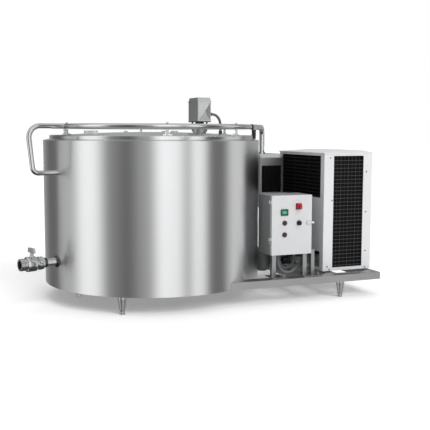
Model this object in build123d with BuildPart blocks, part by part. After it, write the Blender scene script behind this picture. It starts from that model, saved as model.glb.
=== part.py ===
from build123d import *
from math import acos, atan2, cos, degrees, pi, radians, sin, sqrt, tan
import os

# Milk cooling tank with its condensing unit, control box and ring wash pipe.
# Millimetres, +Z up, X along the front beam, floor at z = 0.

os.makedirs("parts", exist_ok=True)

# Tank
jacket_radius = 740
jacket_wall = 2
jacket_top = 1067
shoulder_rise = 8
shoulder_width = 40
insulation_thickness = 78
vessel_radius = jacket_radius - jacket_wall - insulation_thickness
vessel_wall = 2.5
vessel_floor = 262
vessel_knuckle = 40
neck_inset = 40
neck_radius = vessel_radius - neck_inset
foam_clearance = 0.5

# Rim, lids and bridge
ledge_width = 32
ledge_radius = neck_radius + ledge_width
rim_width = 46
rim_radius = ledge_radius + rim_width
rim_height = 26
rim_sheet = 2
rim_bead = 8
ledge_drop = 6
lid_edge_gap = 7
lid_sheet = 2
lid_rise = 23
lid_edge_height = 4
lid_seat_gap = 0.3
bridge_half_width = 105
bridge_sheet = 3
bridge_gap = 2
hinge_positions = (-430, 130)
hinge_radius = 4.5
hinge_pin_radius = 2.2
hinge_length = 48
hinge_leaf = 2
hinge_joint_gap = 0.5
running_clearance = 0.05

# Base frame and feet
ground_clearance = 110
beam_height = 48
beam_width = 80
beam_wall = 3
beam_front_y = 109 - jacket_radius
skirt_clearance = 1
inner_cross_offset = 250
middle_cross_x = jacket_radius + 170
cabinet_cross_x = middle_cross_x + 190
frame_right_of_tank = cabinet_cross_x + 342
foot_inset = 25
foot_front_x = 385
foot_middle_x = 530
foot_cabinet_x = cabinet_cross_x + 47
foot_places = (
    (-foot_front_x, beam_front_y + foot_inset), (-foot_middle_x, 0),
    (-foot_front_x, -beam_front_y - foot_inset), (foot_cabinet_x, beam_front_y),
    (foot_cabinet_x, -beam_front_y),
)
socket_collar = 12
socket_top_radius = 28
socket_bottom_radius = 19
foot_stub_height = 36
foot_stub_radius = 15.5
foot_screw_radius = 12
foot_screw_reach = 96
foot_gap = 0.3

# Wash pipe
ring_radius = rim_radius - 16
ring_height = 1158
ring_tube = 15.9
pipe_wall = 1.5
loop_angle = 198.5
loop_top_reach = jacket_radius + 200
loop_bottom_reach = jacket_radius + 168
loop_return_height = 864
loop_top_bend = 75
loop_bottom_bend = 40
riser_tube = 19
riser_bend = 62
riser_collar = 27
riser_collar_height = 12
stanchion_angles = (200.7, 260.6, 305.4, 20, 80, 140)
stanchion_radius = ring_radius - 6
stanchion_rod = 8
gusset_width = 30
gusset_height = 24
gusset_thickness = 6
stanchion_plate_length = 58
stanchion_plate_width = 24
stanchion_plate_height = 6
stanchion_bolt_pitch = 43
stanchion_bolt = 5
stanchion_nut = 7
post_radius_from_axis = ring_radius + 30
post_tube = 12
spray_places = (-330, 110)
spray_ball = 32
spray_stem = 9
spray_drop = 70

# Agitator
agitator_x = 352
flange_radius = 55
flange_height = 18
flange_seat = 10
flange_bolt_circle = 42
flange_bolt = 6
gear_neck = 36
motor_plate_thickness = 6
hood_width = 98
hood_depth = 194
hood_height = 164
hood_sheet = 2
hood_chamfer_height = 26
hood_chamfer_depth = 12
hood_crease = 12
hood_crease_margin = 6
hood_lip = 5
hood_bottom = 1198
shaft_radius = 12.5
shaft_tip = 300
paddle_radius = 230
paddle_height = 110
paddle_thickness = 3
paddle_hub = 22
paddle_hub_height = 60
paddle_twist = 25
dipstick_x = -188
dipstick_width = 16
dipstick_thickness = 3
dipstick_foot = 300
dipstick_cap = 14
dipstick_cap_height = 9

# Outlet and butterfly valve
outlet_angle = 196
outlet_height = 288.5
outlet_bore = 25
outlet_tube = 27
union_start = jacket_radius + 92
union_length = 40
union_radius = 43
valve_start = union_start + union_length
valve_length = 78
valve_radius = 48
male_radius = 39
male_length = 43
disc_clearance = 0.4
disc_thickness = 5
stem_radius = 6
stem_boss = 12
stem_boss_height = 20
handle_width = 84
handle_height = 30
handle_thickness = 14

# Condensing unit cabinet
cabinet_left = jacket_radius + 316
cabinet_width = 381
cabinet_front = beam_front_y + 84
cabinet_depth = 677
cabinet_bottom = 166
cabinet_height = 822
cabinet_sheet = 2
cabinet_pad_inset = 14
cabinet_pad_width = 30
post_left_width = 75
post_right_width = 70
post_side_depth = 50
rail_top_height = 26
rail_bottom_height = 22
roof_overhang = 4
roof_thickness = 14
roof_crown = 10
side_window_height = 290
side_panel_bottom = 296
grille_pitch = 26
grille_bar = 5
coil_depth = 60
coil_gap = 14
fan_opening = 158
fan_radius = 150
fan_heights = (375, 765)
fan_hub = 42
fan_blades = 5
fan_motor_radius = 46
fan_motor_length = 80
fan_shaft = 6

# Control box
box_left = jacket_radius - 91
box_width = 300
box_front = beam_front_y + 56
box_height = 400
box_bottom = 303
box_depth = 210
box_sheet = 2
door_depth = 25
door_sheet = 2
door_gap = 3
box_lip = 14
door_hinge_radius = 5
door_hinge_heights = (398, 650)
leg_size = 30
leg_y = box_front + 43
leg_places = (box_left + 33, box_left + 266)
side_leg_x = box_left + 329
foot_plate_width = 106
foot_plate_thickness = 4
plate_bolt = 5

# Box fittings, each as x from the box's left side and z from its bottom
display_place = (92, 287)
display_size = (53, 42)
switch_place = (198, 325)
switch_size = 41
selector_place = (202, 213)
button_places = ((95, 215), (95, 136))
collar_radius = 17
collar_height = 5
knob_radius = 14
knob_height = 24
main_knob_radius = 18
main_knob_height = 34
button_radius = 11
button_height = 9
button_travel = 4
latch_place = (271, 213)

# Wash unit, compressor and receiver
wash_left = jacket_radius + 126
wash_width = 184
wash_front = cabinet_front + cabinet_depth - 58
wash_depth = 300
wash_bottom = 560
wash_top = 962
wash_sheet = 2
wash_panel_bottom = 674
wash_panel_top = 874
wash_slope = 28
wash_leg = 25
riser_x = wash_left + 36
riser_y = wash_front + 56
compressor_x = middle_cross_x + 48
compressor_y = -60
compressor_radius = 80
compressor_height = 270
receiver_x = jacket_radius + 57
receiver_y = -118
receiver_radius = 50
receiver_bottom = 118
receiver_height = 176
receiver_dish = 32

# Hoses and conduit, routes from the tank's axis
hose_radius = 11
conduit_radius = 9
gland_radius = 16
gland_height = 18
hose_y = (box_front + 95, box_front + 143)
outer_hose_xz = (
    (741, 285), (741, 248), (752, 206), (783, 172), (828, 161), (870, 181), (907, 213), (931, 252), (931, 285),
)
inner_hose_xz = ((776, 285), (776, 250), (785, 213), (813, 187), (851, 186), (880, 212), (893, 250), (893, 285))
conduit_xz = (
    (417, 1247), (434, 1247), (451, 1241), (467, 1229), (479, 1211), (486, 1189), (488, 1160), (488, 1131),
)
conduit_y = -60

# Places worked out from the sizes above
outlet_end = valve_start + valve_length + male_length
reach_left = outlet_end * cos(radians(outlet_angle - 180)) + male_radius * sin(radians(outlet_angle - 180))
tank_x = (reach_left - frame_right_of_tank) / 2
beam_top = ground_clearance + beam_height
rim_bottom = jacket_top + shoulder_rise
rim_top = rim_bottom + rim_height
ledge_top = rim_top - ledge_drop
lid_radius = ledge_radius - lid_edge_gap
lid_bottom = ledge_top + lid_seat_gap
lid_edge_top = lid_bottom + lid_edge_height
lid_apex = lid_edge_top + lid_rise
dome_radius = (lid_radius**2 + lid_rise**2) / (2 * lid_rise)
hinge_y = bridge_half_width + bridge_gap / 2
hinge_z = lid_apex - hinge_y**2 / (2 * dome_radius) + hinge_radius + hinge_joint_gap
flange_bottom = lid_apex - agitator_x**2 / (2 * dome_radius)
flange_top = flange_bottom + flange_seat + flange_height
body_front = box_front + door_depth + door_gap
box_right = box_left + box_width
hose_start = box_bottom - gland_height

tank_side = Plane(origin=(tank_x, 0, 0), x_dir=(1, 0, 0), z_dir=(0, -1, 0))
tank_axis = Axis((tank_x, 0, 0), (0, 0, 1))


def level(z, x=0, y=0):
    """A horizontal plane at height z, placed from the tank's axis."""
    return Plane(origin=(tank_x + x, y, z))


def radial(angle):
    """The upright plane through the tank's axis that points along angle."""
    return Plane(
        origin=(tank_x, 0, 0),
        x_dir=(cos(radians(angle)), sin(radians(angle)), 0),
        z_dir=(sin(radians(angle)), -cos(radians(angle)), 0),
    )


def across(angle, reach, z):
    """The upright plane square to a radius, at that reach and height."""
    c = cos(radians(angle))
    s = sin(radians(angle))
    return Plane(origin=(tank_x + reach * c, reach * s, z), x_dir=(-s, c, 0), z_dir=(c, s, 0))


def dome_profile(drop, radius, bottom):
    """The half section of the lid's dome, lowered by drop and filled down to bottom."""
    half = radius / 2
    apex = lid_apex - drop
    middle = apex - half**2 / (2 * dome_radius)
    edge = apex - radius**2 / (2 * dome_radius)
    with BuildSketch() as profile:
        with BuildLine():
            ThreePointArc((0, apex), (half, middle), (radius, edge))
            Polyline((radius, edge), (radius, bottom), (0, bottom), (0, apex))
        make_face()
    return profile.sketch


def bend_radii(points):
    """The largest arcs that a route's runs allow, one for each corner."""
    places = [Vector(*point) for point in points]
    runs = [b - a for a, b in zip(places, places[1:])]
    radii = []
    for run, following in zip(runs, runs[1:]):
        turn = radians(run.get_angle(following))
        radii.append(0.45 * min(run.length, following.length) / tan(turn / 2))
    return radii


def dome_height(x, y):
    """How high the dome's outside is at a place measured from the tank's axis."""
    return lid_apex - (x**2 + y**2) / (2 * dome_radius)


def pipe(points, outer, bends, wall=0):
    """A round bar, or a tube where wall is given, along straight runs and arcs."""
    with BuildPart() as tube:
        with BuildLine() as route:
            FilletPolyline(*points, radius=bends)
        with BuildSketch(Plane(origin=route.line @ 0, z_dir=route.line % 0)):
            Circle(outer)
            if wall:
                Circle(outer - wall, mode=Mode.SUBTRACT)
        sweep(path=route.line)
    return tube.part


def save(part, name):
    part.part.label = name
    export_step(part.part, f"parts/{name}.step")


# Envelopes that other pieces are trimmed to
with BuildPart() as vessel_envelope:
    with BuildSketch(tank_side) as vessel_section:
        with BuildLine():
            Polyline(
                (0, vessel_floor - vessel_wall), (vessel_radius, vessel_floor - vessel_wall),
                (vessel_radius, rim_bottom), (0, rim_bottom), close=True,
            )
        make_face()
        fillet(vessel_section.vertices().group_by(Axis.Y)[0].sort_by(Axis.X)[-1], vessel_knuckle)
    revolve(axis=tank_axis)

with BuildPart() as ring_envelope:
    with BuildSketch(tank_side):
        with Locations((ring_radius, ring_height)):
            Circle(ring_tube)
    revolve(axis=tank_axis)

with BuildPart() as jacket_envelope:
    with BuildSketch(tank_side):
        with BuildLine():
            Polyline(
                (0, ground_clearance), (jacket_radius, ground_clearance), (jacket_radius, jacket_top),
                (jacket_radius - shoulder_width, rim_bottom), (0, rim_bottom), close=True,
            )
        make_face()
    revolve(axis=tank_axis)

# Base frame of welded box section, trimmed inside the jacket's skirt
beam_rows = (beam_front_y, 0, -beam_front_y)
skirt_inside = jacket_radius - jacket_wall - skirt_clearance
with BuildPart() as base_beams:
    for row in beam_rows:
        right_end = frame_right_of_tank if row else middle_cross_x - beam_width / 2
        beam_start = Plane(origin=(tank_x - skirt_inside, row, 0), x_dir=(0, 1, 0), z_dir=(1, 0, 0))
        with BuildSketch(beam_start):
            with Locations((0, ground_clearance + beam_height / 2)):
                Rectangle(beam_width, beam_height)
                Rectangle(beam_width - 2 * beam_wall, beam_height - 2 * beam_wall, mode=Mode.SUBTRACT)
        extrude(amount=skirt_inside + right_end)
    with BuildSketch(level(ground_clearance)):
        Rectangle(2 * jacket_radius, 4 * jacket_radius, align=(Align.MAX, Align.CENTER))
        Circle(skirt_inside, mode=Mode.SUBTRACT)
    extrude(amount=beam_height, mode=Mode.SUBTRACT)
save(base_beams, "base_beams")

beam_inner_y = -beam_front_y - beam_width / 2
end_cross_x = frame_right_of_tank - beam_width / 2
inner_cross_length = beam_inner_y - beam_width / 2
cross_bars = [(x, -beam_inner_y, 2 * beam_inner_y) for x in (middle_cross_x, cabinet_cross_x, end_cross_x)]
for x in (-inner_cross_offset, inner_cross_offset):
    cross_bars += [(x, -beam_inner_y, inner_cross_length), (x, beam_width / 2, inner_cross_length)]
with BuildPart() as cross_beams:
    for bar_x, bar_y, bar_length in cross_bars:
        with BuildSketch(Plane(origin=(tank_x + bar_x, bar_y, 0), x_dir=(-1, 0, 0), z_dir=(0, 1, 0))):
            with Locations((0, ground_clearance + beam_height / 2)):
                Rectangle(beam_width, beam_height)
                Rectangle(beam_width - 2 * beam_wall, beam_height - 2 * beam_wall, mode=Mode.SUBTRACT)
        extrude(amount=bar_length)
save(cross_beams, "cross_beams")

# Feet: a tapered socket under each beam, with a screwed stub
with BuildPart() as foot_sockets:
    for place in foot_places:
        foot = Plane(origin=(tank_x + place[0], place[1], 0), x_dir=(1, 0, 0), z_dir=(0, -1, 0))
        with BuildSketch(foot):
            with BuildLine():
                Polyline(
                    (foot_screw_radius + running_clearance, foot_stub_height),
                    (socket_bottom_radius, foot_stub_height),
                    (socket_top_radius, ground_clearance - socket_collar),
                    (socket_top_radius, ground_clearance),
                    (0, ground_clearance),
                    (0, foot_screw_reach + foot_gap),
                    (foot_screw_radius + running_clearance, foot_screw_reach + foot_gap),
                    close=True,
                )
            make_face()
        revolve(axis=Axis((tank_x + place[0], place[1], 0), (0, 0, 1)))
save(foot_sockets, "foot_sockets")

for number, place in enumerate(foot_places, start=1):
    foot = Plane(origin=(tank_x + place[0], place[1], 0), x_dir=(1, 0, 0), z_dir=(0, -1, 0))
    with BuildPart() as foot_screw:
        with BuildSketch(foot):
            with BuildLine():
                Polyline(
                    (0, 0), (foot_stub_radius - 1, 0), (foot_stub_radius, 1),
                    (foot_stub_radius, foot_stub_height - foot_gap),
                    (foot_screw_radius, foot_stub_height - foot_gap),
                    (foot_screw_radius, foot_screw_reach),
                    (0, foot_screw_reach), close=True,
                )
            make_face()
        revolve(axis=Axis((tank_x + place[0], place[1], 0), (0, 0, 1)))
    save(foot_screw, f"foot_screw_{number}")

# Outer jacket with its skirt, floor and sloping shoulder
loop_bore = ring_tube - pipe_wall
with BuildPart() as outer_jacket:
    with BuildSketch(tank_side):
        with BuildLine():
            Polyline(
                (jacket_radius - jacket_wall, ground_clearance), (jacket_radius, ground_clearance),
                (jacket_radius, jacket_top), (jacket_radius - shoulder_width, rim_bottom),
                (rim_radius - 2 * rim_sheet, rim_bottom),
                (rim_radius - 2 * rim_sheet, rim_bottom - jacket_wall),
                (jacket_radius - shoulder_width - 1, rim_bottom - jacket_wall),
                (jacket_radius - jacket_wall, jacket_top - jacket_wall),
                (jacket_radius - jacket_wall, beam_top + jacket_wall),
                (0, beam_top + jacket_wall), (0, beam_top), (jacket_radius - jacket_wall, beam_top),
                close=True,
            )
        make_face()
    revolve(axis=tank_axis)
    for row in beam_rows:
        with BuildSketch(level(ground_clearance, inner_cross_offset, row)):
            Rectangle(
                jacket_radius, beam_width + 2 * skirt_clearance, align=(Align.MIN, Align.CENTER)
            )
        extrude(amount=beam_height, mode=Mode.SUBTRACT)
    with BuildSketch(across(outlet_angle, vessel_radius, outlet_height)):
        Circle(outlet_tube + foam_clearance)
    extrude(amount=jacket_radius, mode=Mode.SUBTRACT)
    with BuildSketch(across(loop_angle, vessel_radius, loop_return_height)):
        Circle(ring_tube + foam_clearance)
    extrude(amount=jacket_radius, mode=Mode.SUBTRACT)
save(outer_jacket, "outer_jacket")

# Inner vessel, open at its neck
with BuildPart() as inner_vessel:
    with BuildSketch(tank_side) as vessel_shell:
        with BuildLine():
            Polyline(
                (0, vessel_floor - vessel_wall), (vessel_radius, vessel_floor - vessel_wall),
                (vessel_radius, rim_bottom), (neck_radius, rim_bottom),
                (neck_radius, rim_bottom - vessel_wall),
                (vessel_radius - vessel_wall, rim_bottom - vessel_wall),
                (vessel_radius - vessel_wall, vessel_floor), (0, vessel_floor), close=True,
            )
        make_face()
        low = vessel_shell.vertices().filter_by_position(Axis.Y, vessel_floor - 5, vessel_floor + 1)
        outside_corner = low.filter_by_position(Axis.X, vessel_radius - 1, vessel_radius + 1)
        fillet(outside_corner, vessel_knuckle)
        low = vessel_shell.vertices().filter_by_position(Axis.Y, vessel_floor - 1, vessel_floor + 1)
        inside_corner = low.filter_by_position(
            Axis.X, vessel_radius - vessel_wall - 1, vessel_radius - vessel_wall + 1
        )
        fillet(inside_corner, vessel_knuckle - vessel_wall)
    revolve(axis=tank_axis)
    with BuildSketch(across(outlet_angle, neck_radius - vessel_knuckle, outlet_height)):
        Circle(outlet_bore)
    extrude(amount=3 * vessel_knuckle, mode=Mode.SUBTRACT)
    with BuildSketch(across(loop_angle, neck_radius, loop_return_height)):
        Circle(loop_bore)
    extrude(amount=2 * vessel_knuckle, mode=Mode.SUBTRACT)
save(inner_vessel, "inner_vessel")

# Evaporator: pillow plates under the floor and round the lower wall
channel = 5
channel_pitch = 60
evaporator_sheet = 2
evaporator_height = 340
evaporator_top = vessel_floor + evaporator_height
plate_face = vessel_floor - vessel_wall - foam_clearance
band_face = vessel_radius + foam_clearance
with BuildPart() as evaporator_plates:
    with BuildSketch(tank_side):
        with Locations((vessel_radius - 2 * vessel_knuckle, plate_face)):
            Rectangle(vessel_radius - 4 * vessel_knuckle, evaporator_sheet, align=(Align.MAX, Align.MAX))
        for step in range(8):
            with Locations((vessel_radius - 2 * vessel_knuckle - 20 - step * channel_pitch, plate_face)):
                Rectangle(2 * channel, channel, align=(Align.CENTER, Align.MAX))
    revolve(axis=tank_axis)
    with BuildSketch(tank_side):
        with Locations((band_face, vessel_floor + 2 * vessel_knuckle)):
            Rectangle(
                evaporator_sheet, evaporator_top - vessel_floor - 2 * vessel_knuckle,
                align=(Align.MIN, Align.MIN),
            )
        for step in range(4):
            with Locations((band_face, vessel_floor + 2 * vessel_knuckle + 40 + step * channel_pitch)):
                Rectangle(channel, 2 * channel, align=(Align.MIN, Align.CENTER))
    revolve(axis=tank_axis)
save(evaporator_plates, "evaporator_plates")

# Insulating foam between vessel and jacket
foam_floor = plate_face - channel - foam_clearance
foam_bore = band_face + channel + foam_clearance
foam_outside = jacket_radius - jacket_wall - foam_clearance
with BuildPart() as insulation_foam:
    with BuildSketch(tank_side):
        with BuildLine():
            Polyline(
                (0, beam_top + jacket_wall + foam_clearance),
                (foam_outside, beam_top + jacket_wall + foam_clearance),
                (foam_outside, jacket_top - 2 * jacket_wall), (band_face, jacket_top - 2 * jacket_wall),
                (band_face, evaporator_top + foam_clearance), (foam_bore, evaporator_top + foam_clearance),
                (foam_bore, foam_floor), (0, foam_floor), close=True,
            )
        make_face()
    revolve(axis=tank_axis)
    with BuildSketch(across(outlet_angle, neck_radius - vessel_knuckle, outlet_height)):
        Circle(outlet_tube + foam_clearance)
    extrude(amount=jacket_radius, mode=Mode.SUBTRACT)
    with BuildSketch(across(loop_angle, neck_radius, loop_return_height)):
        Circle(ring_tube + foam_clearance)
    extrude(amount=jacket_radius, mode=Mode.SUBTRACT)
save(insulation_foam, "insulation_foam")

# Rim: a folded ring with a rounded bead and a ledge for the lids
with BuildPart() as rim_ring:
    with BuildSketch(tank_side) as rim_section:
        with BuildLine():
            Polyline(
                (rim_radius, rim_bottom), (rim_radius, rim_top), (ledge_radius, rim_top),
                (ledge_radius, ledge_top), (neck_radius, ledge_top), (neck_radius, rim_bottom),
                (neck_radius + rim_sheet, rim_bottom), (neck_radius + rim_sheet, ledge_top - rim_sheet),
                (ledge_radius + rim_sheet, ledge_top - rim_sheet),
                (ledge_radius + rim_sheet, rim_top - rim_sheet),
                (rim_radius - rim_sheet, rim_top - rim_sheet), (rim_radius - rim_sheet, rim_bottom),
                close=True,
            )
        make_face()
        bead_outside = rim_section.vertices().group_by(Axis.Y)[-1].sort_by(Axis.X)[-1]
        fillet(bead_outside, rim_bead)
        under_top = rim_section.vertices().filter_by_position(
            Axis.Y, rim_top - rim_sheet - 0.5, rim_top - rim_sheet + 0.5
        )
        fillet(under_top.sort_by(Axis.X)[-1], rim_bead - rim_sheet)
    revolve(axis=tank_axis)
save(rim_ring, "rim_ring")

# Lids and bridge, cut from one shallow dome
strip_length = 2 * jacket_radius
on_top = (Align.CENTER, Align.CENTER, Align.MIN)

with BuildPart() as bridge_hollow:
    with BuildSketch(tank_side):
        add(dome_profile(bridge_sheet, lid_radius - 2 * bridge_sheet, lid_bottom - 1))
    revolve(axis=tank_axis)
    with Locations((tank_x, 0, lid_bottom - 1)):
        Box(
            strip_length, 2 * (bridge_half_width - bridge_sheet), strip_length,
            align=on_top, mode=Mode.INTERSECT,
        )

with BuildPart() as dome_envelope:
    with BuildSketch(tank_side):
        add(dome_profile(0, lid_radius, ledge_top))
    revolve(axis=tank_axis)

barrel_length = hinge_length / 4
bearing_radius = hinge_pin_radius + running_clearance
leaf_width = 3 * hinge_radius
with BuildPart() as bridge:
    add(dome_envelope.part)
    with Locations((tank_x, 0, ledge_top)):
        Box(strip_length, 2 * bridge_half_width, strip_length, align=on_top, mode=Mode.INTERSECT)
    add(bridge_hollow.part, mode=Mode.SUBTRACT)
    for side in (-1, 1):
        for hinge_x in hinge_positions:
            leaf_bottom = dome_height(hinge_x, hinge_y) - hinge_leaf
            for end in (-1, 1):
                barrel_x = tank_x + hinge_x + end * (hinge_length - barrel_length) / 2
                leaf_y = side * (bridge_half_width - leaf_width / 2)
                with Locations((barrel_x, leaf_y, leaf_bottom)):
                    Box(barrel_length, leaf_width, hinge_z - leaf_bottom, align=on_top)
                with Locations(Location((barrel_x, side * hinge_y, hinge_z), (0, 90, 0))):
                    Cylinder(hinge_radius, barrel_length)
            with Locations(Location((tank_x + hinge_x, side * hinge_y, hinge_z), (0, 90, 0))):
                Cylinder(hinge_pin_radius, hinge_length)
    with Locations((tank_x + agitator_x, 0, lid_edge_top)):
        Cylinder(shaft_radius + foam_clearance, 4 * lid_rise, mode=Mode.SUBTRACT)
    with Locations((tank_x + dipstick_x, 0, lid_edge_top)):
        Box(dipstick_width + 2, dipstick_thickness + 2, 4 * lid_rise, mode=Mode.SUBTRACT)
save(bridge, "bridge")

lid_chord = bridge_half_width + bridge_gap
moving_barrel = hinge_length - 2 * barrel_length - 2 * hinge_joint_gap
for side, lid_name in ((-1, "front_lid"), (1, "rear_lid")):
    lid_side = (Align.CENTER, Align.MAX if side < 0 else Align.MIN, Align.MIN)
    with BuildPart() as lid_hollow:
        with BuildSketch(tank_side):
            add(dome_profile(lid_sheet, lid_radius - lid_sheet, lid_bottom - 1))
        revolve(axis=tank_axis)
        with Locations((tank_x, side * (lid_chord + lid_sheet), lid_bottom - 1)):
            Box(strip_length, strip_length, strip_length, align=lid_side, mode=Mode.INTERSECT)
    with BuildPart() as lid:
        add(dome_envelope.part)
        with Locations((tank_x, side * lid_chord, lid_bottom)):
            Box(strip_length, strip_length, strip_length, align=lid_side, mode=Mode.INTERSECT)
        add(lid_hollow.part, mode=Mode.SUBTRACT)
        for hinge_x in hinge_positions:
            leaf_bottom = dome_height(hinge_x, lid_chord + leaf_width) - hinge_leaf
            with Locations((tank_x + hinge_x, side * (lid_chord + leaf_width / 2), leaf_bottom)):
                Box(moving_barrel, leaf_width, hinge_z - leaf_bottom, align=on_top)
            with Locations(Location((tank_x + hinge_x, side * hinge_y, hinge_z), (0, 90, 0))):
                Cylinder(hinge_radius, moving_barrel)
                Cylinder(bearing_radius, hinge_length, mode=Mode.SUBTRACT)
    save(lid, lid_name)

# Wash ring with its loop, riser and stanchions
riser_reach = sqrt(riser_x**2 + riser_y**2)
riser_angle = degrees(atan2(riser_y, riser_x) - acos(ring_radius / riser_reach))


def riser_point(along, z=ring_height):
    """A point on the line that leaves the ring as its tangent towards the riser."""
    c = cos(radians(riser_angle))
    s = sin(radians(riser_angle))
    return (tank_x + ring_radius * c - along * s, ring_radius * s + along * c, z)


riser_run = sqrt(riser_reach**2 - ring_radius**2)
riser_start = 90
with BuildPart() as wash_ring:
    with BuildSketch(tank_side):
        with Locations((ring_radius, ring_height)):
            Circle(ring_tube)
            Circle(ring_tube - pipe_wall, mode=Mode.SUBTRACT)
    revolve(axis=tank_axis)
    with BuildSketch(across(loop_angle, ring_radius, ring_height)):
        Circle(loop_bore)
    extrude(amount=2 * ring_tube, mode=Mode.SUBTRACT)
save(wash_ring, "wash_ring")

loop_plane = radial(loop_angle)
loop_points = [
    loop_plane.from_local_coords(Vector(reach, z, 0)) for reach, z in (
        (ring_radius, ring_height), (loop_top_reach, ring_height),
        (loop_bottom_reach, loop_return_height), (vessel_radius, loop_return_height),
    )
]
with BuildPart() as wash_loop:
    add(pipe(loop_points, ring_tube, [loop_top_bend, loop_bottom_bend], pipe_wall))
    add(ring_envelope.part, mode=Mode.SUBTRACT)
    with Locations((tank_x, 0, ground_clearance)):
        Cylinder(vessel_radius, jacket_top, align=on_top, mode=Mode.SUBTRACT)
save(wash_loop, "wash_loop")

riser_points = [riser_point(riser_start), riser_point(riser_run), riser_point(riser_run, wash_top)]
with BuildPart() as wash_riser:
    add(pipe(riser_points, riser_tube, [riser_bend], pipe_wall))
    add(ring_envelope.part, mode=Mode.SUBTRACT)
    with Locations((tank_x + riser_x, riser_y, wash_top)):
        Cylinder(riser_collar, riser_collar_height, align=on_top)
        Cylinder(riser_tube - pipe_wall, 2 * riser_collar_height, align=on_top, mode=Mode.SUBTRACT)
save(wash_riser, "wash_riser")

post_along = sqrt(post_radius_from_axis**2 - ring_radius**2)
with BuildPart() as post_trim:
    add(pipe(riser_points, riser_tube, [riser_bend]))
with BuildPart() as ring_stanchions:
    for angle in stanchion_angles:
        with BuildSketch(across(angle, stanchion_radius, rim_top)):
            with Locations((0, stanchion_plate_height / 2)):
                Rectangle(stanchion_plate_length, stanchion_plate_height)
        extrude(amount=stanchion_plate_width / 2, both=True)
        for offset_side in (-1, 1):
            plate_top = across(angle, stanchion_radius, rim_top + stanchion_plate_height)
            with Locations(plate_top.from_local_coords(Vector(offset_side * stanchion_bolt_pitch / 2, 0, 0))):
                Cylinder(stanchion_bolt, stanchion_bolt, align=on_top)
        with BuildSketch(across(angle, ring_radius, rim_top + stanchion_plate_height)):
            with BuildLine():
                Polyline(
                    (-gusset_width / 2, 0), (gusset_width / 2, 0), (stanchion_rod, gusset_height),
                    (-stanchion_rod, gusset_height), close=True,
                )
            make_face()
        extrude(amount=gusset_thickness / 2, both=True)
        rod = across(angle, ring_radius, 0).origin
        with Locations((rod.X, rod.Y, rim_top)):
            Cylinder(stanchion_rod, ring_height - ring_tube - running_clearance - rim_top, align=on_top)
        with Locations((rod.X, rod.Y, ring_height + ring_tube + running_clearance)):
            Cylinder(stanchion_nut, stanchion_nut, align=on_top)
    post_x, post_y, _ = riser_point(post_along)
    with Locations((post_x, post_y, jacket_top)):
        Cylinder(post_tube, ring_height - jacket_top, align=on_top)
    add(post_trim.part, mode=Mode.SUBTRACT)
    add(jacket_envelope.part, mode=Mode.SUBTRACT)
save(ring_stanchions, "ring_stanchions")

# Spray balls that hang from the bridge
with BuildPart() as spray_heads:
    for spray_x in spray_places:
        under_bridge = dome_height(spray_x, 0) - bridge_sheet
        ball_z = under_bridge - spray_drop
        with Locations((tank_x + spray_x, 0, ball_z)):
            Cylinder(spray_stem, 2 * spray_drop, align=on_top)
            Sphere(spray_ball)
    with BuildSketch(tank_side):
        add(dome_profile(bridge_sheet, lid_radius, 0))
    revolve(axis=tank_axis, mode=Mode.INTERSECT)
save(spray_heads, "spray_heads")

# Agitator drive
with BuildPart() as agitator_flange:
    with Locations((tank_x + agitator_x, 0, flange_bottom - flange_seat)):
        Cylinder(flange_radius - 8, flange_top - flange_height - flange_bottom + flange_seat, align=on_top)
    with Locations((tank_x + agitator_x, 0, flange_top - flange_height)):
        Cylinder(flange_radius, flange_height, align=on_top)
    for corner in range(4):
        turn = radians(45 + 90 * corner)
        bolt_x = tank_x + agitator_x + flange_bolt_circle * cos(turn)
        with Locations((bolt_x, flange_bolt_circle * sin(turn), flange_top)):
            Cylinder(flange_bolt, flange_bolt, align=on_top)
    with Locations((tank_x + agitator_x, 0, ledge_top)):
        Cylinder(shaft_radius + running_clearance, 4 * lid_rise, align=on_top, mode=Mode.SUBTRACT)
    add(dome_envelope.part, mode=Mode.SUBTRACT)
save(agitator_flange, "agitator_flange")

shaft_top = flange_top + 2 * flange_height
motor_width = hood_width - 24
motor_depth = hood_depth - 50
motor_height = hood_height - 60
with BuildPart() as agitator_gearmotor:
    with Locations((tank_x + agitator_x, 0, flange_top)):
        Cylinder(gear_neck - 6, hood_bottom - flange_top, align=on_top)
    with Locations((tank_x + agitator_x, 0, hood_bottom - motor_plate_thickness)):
        Box(hood_width, hood_depth, motor_plate_thickness, align=on_top)
    with BuildSketch(level(hood_bottom, agitator_x)):
        RectangleRounded(motor_width, motor_depth, 20)
    extrude(amount=motor_height)
    for bolt_dx in (-28, 28):
        for bolt_dy in (-70, 70):
            with Locations((
                tank_x + agitator_x + bolt_dx, bolt_dy, hood_bottom - 3 * motor_plate_thickness,
            )):
                Cylinder(flange_bolt, 2 * motor_plate_thickness, align=on_top)
    with Locations((tank_x + agitator_x, 0, ledge_top)):
        Cylinder(
            shaft_radius + running_clearance, shaft_top + foot_gap - ledge_top,
            align=on_top, mode=Mode.SUBTRACT,
        )
save(agitator_gearmotor, "agitator_gearmotor")

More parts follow.
